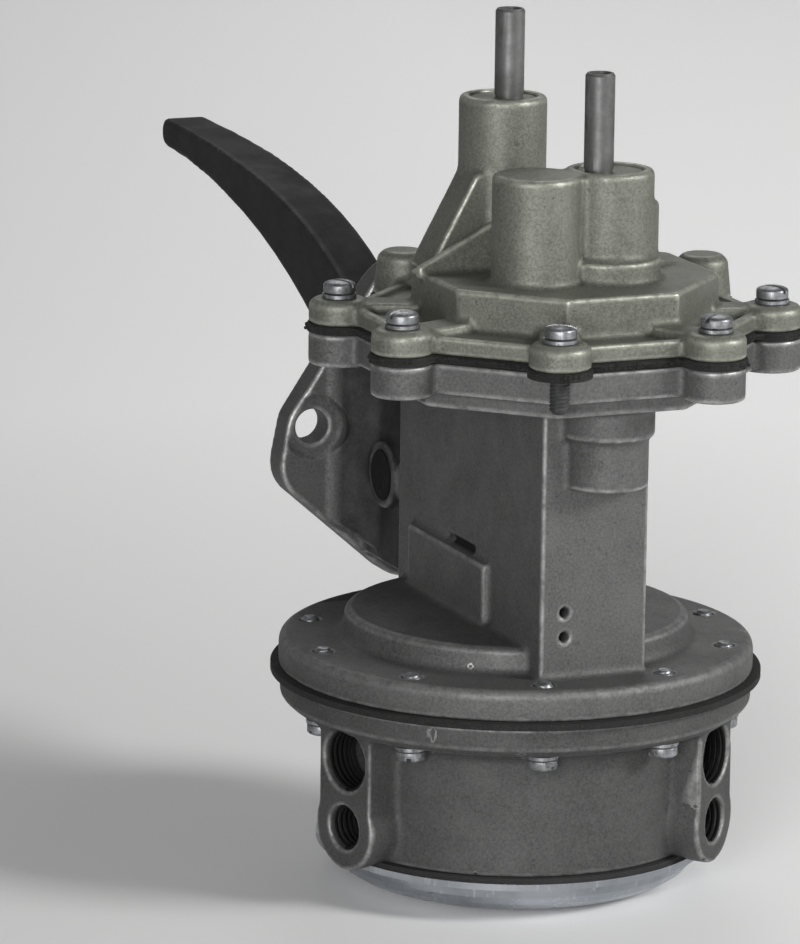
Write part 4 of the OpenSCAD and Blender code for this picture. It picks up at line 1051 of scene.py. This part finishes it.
class PUMP_OT_stage(Operator):
    """Set the floor, the lights and the camera"""
    bl_idname = "fuel_pump.stage"
    bl_label = "Stage"

    def execute(self, context):
        scene = context.scene
        look = scene.pump_stage
        scene.view_settings.view_transform = "Standard"
        material, tree, shader = new_material("Stage paper")
        # Painted light on the paper: its colour is lighter to the right of the view, and far parts
        # glow brighter for the camera only, leaving a darker pool round the pump
        place = tree.nodes.new("ShaderNodeTexCoord").outputs["Object"]
        across = tree.nodes.new("ShaderNodeVectorMath")
        across.operation = "DOT_PRODUCT"
        across.inputs[1].default_value = (0.97, -0.272, 0.0)
        tree.links.new(place, across.inputs[0])
        side = ramp_node(tree, across.outputs["Value"], -0.22, 0.14)
        tint = mix_color(tree, side, [c * 0.68 for c in look.floor_color], look.floor_color)
        tree.links.new(tint, shader.inputs["Base Color"])
        seen = tree.nodes.new("ShaderNodeLightPath").outputs["Is Camera Ray"]
        shader.inputs["Emission Color"].default_value = (1.0, 1.0, 1.0, 1.0)
        away = tree.nodes.new("ShaderNodeVectorMath")
        away.operation = "LENGTH"
        tree.links.new(place, away.inputs[0])
        painted_glow = math_node(tree, "MULTIPLY",
                         ramp_node(tree, away.outputs["Value"], 0.12, 0.55, 0.03, 0.20), seen)
        tree.links.new(painted_glow, shader.inputs["Emission Strength"])
        shader.inputs["Roughness"].default_value = 0.95
        shader.inputs["Specular IOR Level"].default_value = 0.1
        profile = [(-2.5, 0.0), (2.2, 0.0)]
        profile += [(2.2 + 0.8 * math.sin(math.radians(a)),
                     0.8 - 0.8 * math.cos(math.radians(a))) for a in range(10, 91, 10)]
        profile += [(3.0, 4.0)]
        points, faces = [], []
        for y, z in profile:
            points += [(-4.0, y, z), (4.0, y, z)]
        for i in range(len(profile) - 1):
            faces.append((2 * i, 2 * i + 1, 2 * i + 3, 2 * i + 2))
        mesh = bpy.data.meshes.new("stage_paper")
        mesh.from_pydata(points, [], faces)
        paper = new_object("stage_paper", mesh)
        paper.data.materials.append(material)
        for face in mesh.polygons:
            face.use_smooth = True

        world = bpy.data.worlds.new("Room")
        scene.world = world
        world.use_nodes = True
        sky = world.node_tree.nodes["Background"]
        sky.inputs["Color"].default_value = (1.0, 1.0, 1.0, 1.0)
        sky.inputs["Strength"].default_value = look.sky

        target = Vector((0.0, 0.01, 0.10))
        for name, place, size, share, tint in (
                ("Key", (1.25, -1.15, 0.95), 0.6, 1.0, (1.0, 1.0, 0.99)),
                ("Front", (-1.0, -1.5, 0.42), 0.8, 0.85, (1.0, 1.0, 1.0)),
                ("Back", (0.6, 1.5, 1.6), 1.0, 0.25, (1.0, 1.0, 1.0))):
            data = bpy.data.lights.new(name, "AREA")
            data.shape = "DISK"
            data.size = size
            data.energy = look.key_power * share
            data.color = tint
            lamp = bpy.data.objects.new(name, data)
            scene.collection.objects.link(lamp)
            lamp.location = place
            lamp.rotation_euler = (target - Vector(place)).to_track_quat("-Z", "Y").to_euler()

        data = bpy.data.cameras.new("Camera")
        data.lens = look.lens
        data.sensor_width = 36.0
        data.clip_start, data.clip_end = 0.05, 20.0
        camera = bpy.data.objects.new("Camera", data)
        scene.collection.objects.link(camera)
        turn, rise, roll = VIEW_TURN, math.radians(12.651), math.radians(0.7447)
        back = Vector((math.sin(turn) * math.cos(rise), -math.cos(turn) * math.cos(rise),
                       math.sin(rise)))
        right = Vector((math.cos(turn), math.sin(turn), 0.0))
        up = back.cross(right)
        side = right * math.cos(roll) + up * math.sin(roll)
        top = up * math.cos(roll) - right * math.sin(roll)
        place = Vector((-0.02663, 0.01103, 0.10024)) + back * 1.5
        camera.matrix_world = Matrix((
            (side.x, top.x, back.x, place.x), (side.y, top.y, back.y, place.y),
            (side.z, top.z, back.z, place.z), (0.0, 0.0, 0.0, 1.0)))
        scene.camera = camera
        return {"FINISHED"}


class PUMP_PT_panel(Panel):
    """Lists the pump's building steps and their settings"""
    bl_idname = "PUMP_PT_panel"
    bl_label = "Fuel Pump"
    bl_space_type = "VIEW_3D"
    bl_region_type = "UI"
    bl_category = "Fuel Pump"

    def draw(self, context):
        for operator in OPERATORS:
            self.layout.operator(operator.bl_idname)
        for group in ("pump_castings", "pump_fasteners", "pump_cloth", "pump_finish",
                      "pump_stage"):
            values = getattr(context.scene, group)
            box = self.layout.box()
            for name in values.__annotations__:
                box.prop(values, name)


OPERATORS = (PUMP_OT_finish_nodes, PUMP_OT_castings, PUMP_OT_port_threads, PUMP_OT_arm,
             PUMP_OT_screws, PUMP_OT_cloth, PUMP_OT_soft_parts, PUMP_OT_stage)
SETTINGS = {
    "pump_castings": CastingSizes,
    "pump_fasteners": FastenerSizes,
    "pump_cloth": ClothSizes,
    "pump_finish": Finish,
    "pump_stage": Stage,
}


def register():
    """Registers the settings, the operators and the panel."""
    for name, group in SETTINGS.items():
        bpy.utils.register_class(group)
        setattr(bpy.types.Scene, name, PointerProperty(type=group))
    for item in (*OPERATORS, PUMP_PT_panel):
        bpy.utils.register_class(item)


def unregister():
    """Removes them again."""
    for item in (PUMP_PT_panel, *reversed(OPERATORS)):
        bpy.utils.unregister_class(item)
    for name, group in SETTINGS.items():
        delattr(bpy.types.Scene, name)
        bpy.utils.unregister_class(group)


def main():
    """Builds the dressed pump."""
    register()
    for operator in OPERATORS:
        group, name = operator.bl_idname.split(".")
        getattr(getattr(bpy.ops, group), name)()
    import json


if __name__ == "__main__":
    main()
